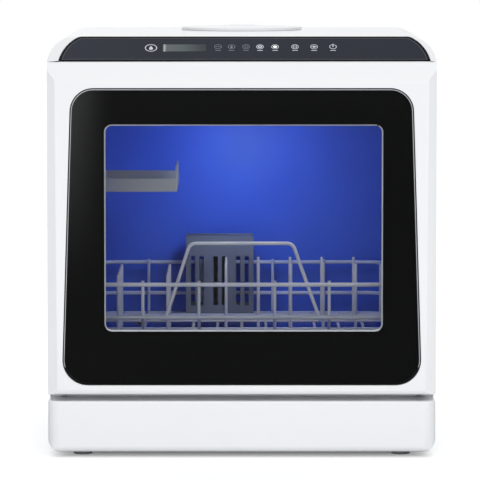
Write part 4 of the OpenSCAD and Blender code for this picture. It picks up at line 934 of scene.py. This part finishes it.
dress(paint["armGrey"], "lower_spray_arm", "upper_spray_arm")
print("finishes ready")

floorLook = dict(
    size=12, y=5.45, tone=(0.8, 0.802, 0.806), roughness=(0.7, 0.8), driftScale=2, sheen=0.1, glow=0.4,
    # a painted shadow under the plinth: the width over which it fades in, and the share of the glow left in
    # it
    paintedShadowReach=0.045, paintedShadowGlow=0.35,
)


def addFloor():  # it glows for the camera only, and glows less under the plinth as a painted shadow
    look = floorLook
    deselectAll()
    bpy.ops.mesh.primitive_plane_add(size=1, location=(0, look["y"], 0))
    floor = bpy.context.active_object
    floor.name = "floor"
    floor.scale = (look["size"], look["size"], 1)
    applyPlace(floor)
    paper = surface("floorPaper", dict(
        dark=look["tone"], light=look["tone"], roughness=look["roughness"], driftScale=look["driftScale"],
        grain=0.0, glowStrength=look["glow"], sheen=look["sheen"]))
    tree = paper.node_tree
    rays = tree.nodes.new("ShaderNodeLightPath")
    lift = tree.nodes.new("ShaderNodeMath")
    lift.operation = "MULTIPLY"
    lift.inputs[1].default_value = look["glow"]
    tree.links.new(rays.outputs["Is Camera Ray"], lift.inputs[0])
    # under the machine's outline the glow drops: a painted shadow
    under = tree.nodes.new("ShaderNodeMath")
    under.operation = "MAXIMUM"
    axes = tree.nodes.new("ShaderNodeSeparateXYZ")
    tree.links.new(tree.nodes["Texture Coordinate"].outputs["Object"], axes.inputs["Vector"])
    for turn, axis in enumerate("XY"):
        away = tree.nodes.new("ShaderNodeMath")
        away.operation = "ABSOLUTE"
        tree.links.new(axes.outputs[axis], away.inputs[0])
        paintedShadowFade = tree.nodes.new("ShaderNodeMapRange")
        paintedShadowFade.inputs["From Min"].default_value = cadHigh[turn] - look["paintedShadowReach"]
        paintedShadowFade.inputs["From Max"].default_value = cadHigh[turn]
        paintedShadowFade.inputs["To Min"].default_value = look["paintedShadowGlow"]
        tree.links.new(away.outputs["Value"], paintedShadowFade.inputs["Value"])
        tree.links.new(paintedShadowFade.outputs["Result"], under.inputs[turn])
    glow = tree.nodes.new("ShaderNodeMath")
    glow.operation = "MULTIPLY"
    tree.links.new(lift.outputs["Value"], glow.inputs[0])
    tree.links.new(under.outputs["Value"], glow.inputs[1])
    tree.links.new(glow.outputs["Value"], tree.nodes["Principled BSDF"].inputs["Emission Strength"])
    floor.data.materials.append(paper)


skyLook = dict(  # each light as (from, to, level there, level there) along X, Y or Z of the view's direction
    tone=(0.985, 0.992, 1.0), backdrop=1.0,
    ahead=(-1.0, -0.3, 1.18, 0.0), above=(0.3, 1.0, 0.0, 0.8), behind=(0.2, 1.0, 0.23, 1.18),
    aside=(0.08, 0.6, 1.0, 0.65),  # along X squared
    gleamX=(-0.05, -0.033, 1.15, 0.0), gleamFoot=(-0.1, -0.035, 0.0, 1.0), gleamTop=(-0.03, 0.05, 1.0, 0.0),
    mirrorUp=(-0.07, 0.15, 0.125, 1.0), mirrorAcross=(-0.1, 0.1, 0.66, 0.5),
    mirrorBehind=(0.5, 0.9, 0.0, 0.6),
)


def setWorld():  # soft light from all round; mirrored surfaces see it dim low in front; plain white behind
    look = skyLook
    world = bpy.data.worlds.new("studioSky")
    bpy.context.scene.world = world
    world.use_nodes = True
    tree = world.node_tree
    back = tree.nodes["Background"]
    place = tree.nodes.new("ShaderNodeTexCoord")
    axes = tree.nodes.new("ShaderNodeSeparateXYZ")
    tree.links.new(place.outputs["Generated"], axes.inputs["Vector"])
    x, y, z = (axes.outputs[axis] for axis in "XYZ")

    def level(source, key):
        ease = tree.nodes.new("ShaderNodeMapRange")
        ease.interpolation_type = "SMOOTHSTEP"
        for socket, value in zip(("From Min", "From Max", "To Min", "To Max"), look[key]):
            ease.inputs[socket].default_value = value
        tree.links.new(source, ease.inputs["Value"])
        return ease.outputs["Result"]

    def combine(kind, first, second):
        sums = tree.nodes.new("ShaderNodeMath")
        sums.operation = kind
        for socket, source in zip(sums.inputs, (first, second)):
            tree.links.new(source, socket)
        return sums.outputs["Value"]

    def sky(strength):
        glow = tree.nodes.new("ShaderNodeBackground")
        glow.inputs["Color"].default_value = (*look["tone"], 1)
        tree.links.new(strength, glow.inputs["Strength"])
        return glow.outputs["Background"]

    def blend(share, first, second):
        mix = tree.nodes.new("ShaderNodeMixShader")
        tree.links.new(share, mix.inputs["Fac"])
        tree.links.new(first, mix.inputs[1])
        tree.links.new(second, mix.inputs[2])
        return mix.outputs["Shader"]

    ahead = level(y, "ahead")
    above = level(z, "above")
    behind = level(y, "behind")
    spreadLight = combine("ADD", combine("ADD", ahead, above), behind)
    aside = combine("MULTIPLY", x, x)
    spreadLight = combine("MULTIPLY", spreadLight, level(aside, "aside"))
    corner = combine("MULTIPLY", level(x, "gleamX"), level(z, "gleamFoot"))
    corner = combine("MULTIPLY", corner, level(z, "gleamTop"))
    mirrored = combine("ADD", level(z, "mirrorUp"), corner)
    mirrored = combine("MULTIPLY", mirrored, level(x, "mirrorAcross"))
    mirrored = combine("ADD", mirrored, level(y, "mirrorBehind"))
    rays = tree.nodes.new("ShaderNodeLightPath")
    shown = blend(rays.outputs["Is Glossy Ray"], sky(spreadLight), sky(mirrored))
    back.inputs["Color"].default_value = (1, 1, 1, 1)
    back.inputs["Strength"].default_value = look["backdrop"]
    shown = blend(rays.outputs["Is Camera Ray"], shown, back.outputs["Background"])
    tree.links.new(shown, tree.nodes["World Output"].inputs["Surface"])


lampLook = dict(
    keyLamp=dict(place=(1.7, -2.6, 2.3), aim=(0, 0, 0.25), size=1.6, watts=9),
    insideLamp=dict(place=(0.0, 0.02, 0.32), aim=(-0.01, 0.146, 0.3), size=0.06, watts=0.18,
                    tone=(0.24, 0.44, 1.0)),
    fillLamp=dict(place=(0.04, -0.13, 0.4), aim=(0.02, -0.11, 0.2), size=0.06, watts=0.24),
    lowLamp=dict(place=(0, -0.75, 0.05), aim=(0, -0.2, 0.03), size=0.5, tall=0.05, watts=0.35),
)


def addLamp(name, place, aim, size, watts, tone=(1, 1, 1), tall=None):  # it lights, but isn't seen itself
    deselectAll()
    place = Vector(place)
    turn = (Vector(aim) - place).to_track_quat("-Z", "Y").to_euler()
    bpy.ops.object.light_add(type="AREA", location=place, rotation=turn)
    lamp = bpy.context.active_object
    lamp.name = name
    lamp.data.size = size
    if tall:
        lamp.data.shape = "RECTANGLE"
        lamp.data.size_y = tall
    lamp.data.energy = watts
    lamp.data.color = tone
    lamp.visible_glossy = False
    lamp.visible_camera = False


cameraLook = dict(place=(-0.002, -4.4175, 0.589), tip=90 - 4.72, lens=286.6, sensor=36)


def addCamera():
    look = cameraLook
    deselectAll()
    bpy.ops.object.camera_add(location=look["place"], rotation=(math.radians(look["tip"]), 0, 0))
    camera = bpy.context.active_object
    camera.data.lens = look["lens"]
    camera.data.sensor_width = look["sensor"]
    bpy.context.scene.camera = camera


addFloor()
setWorld()
for name, lampSettings in lampLook.items():
    addLamp(name, **lampSettings)
addCamera()
bpy.context.scene.view_settings.view_transform = "Standard"
print("studio ready")
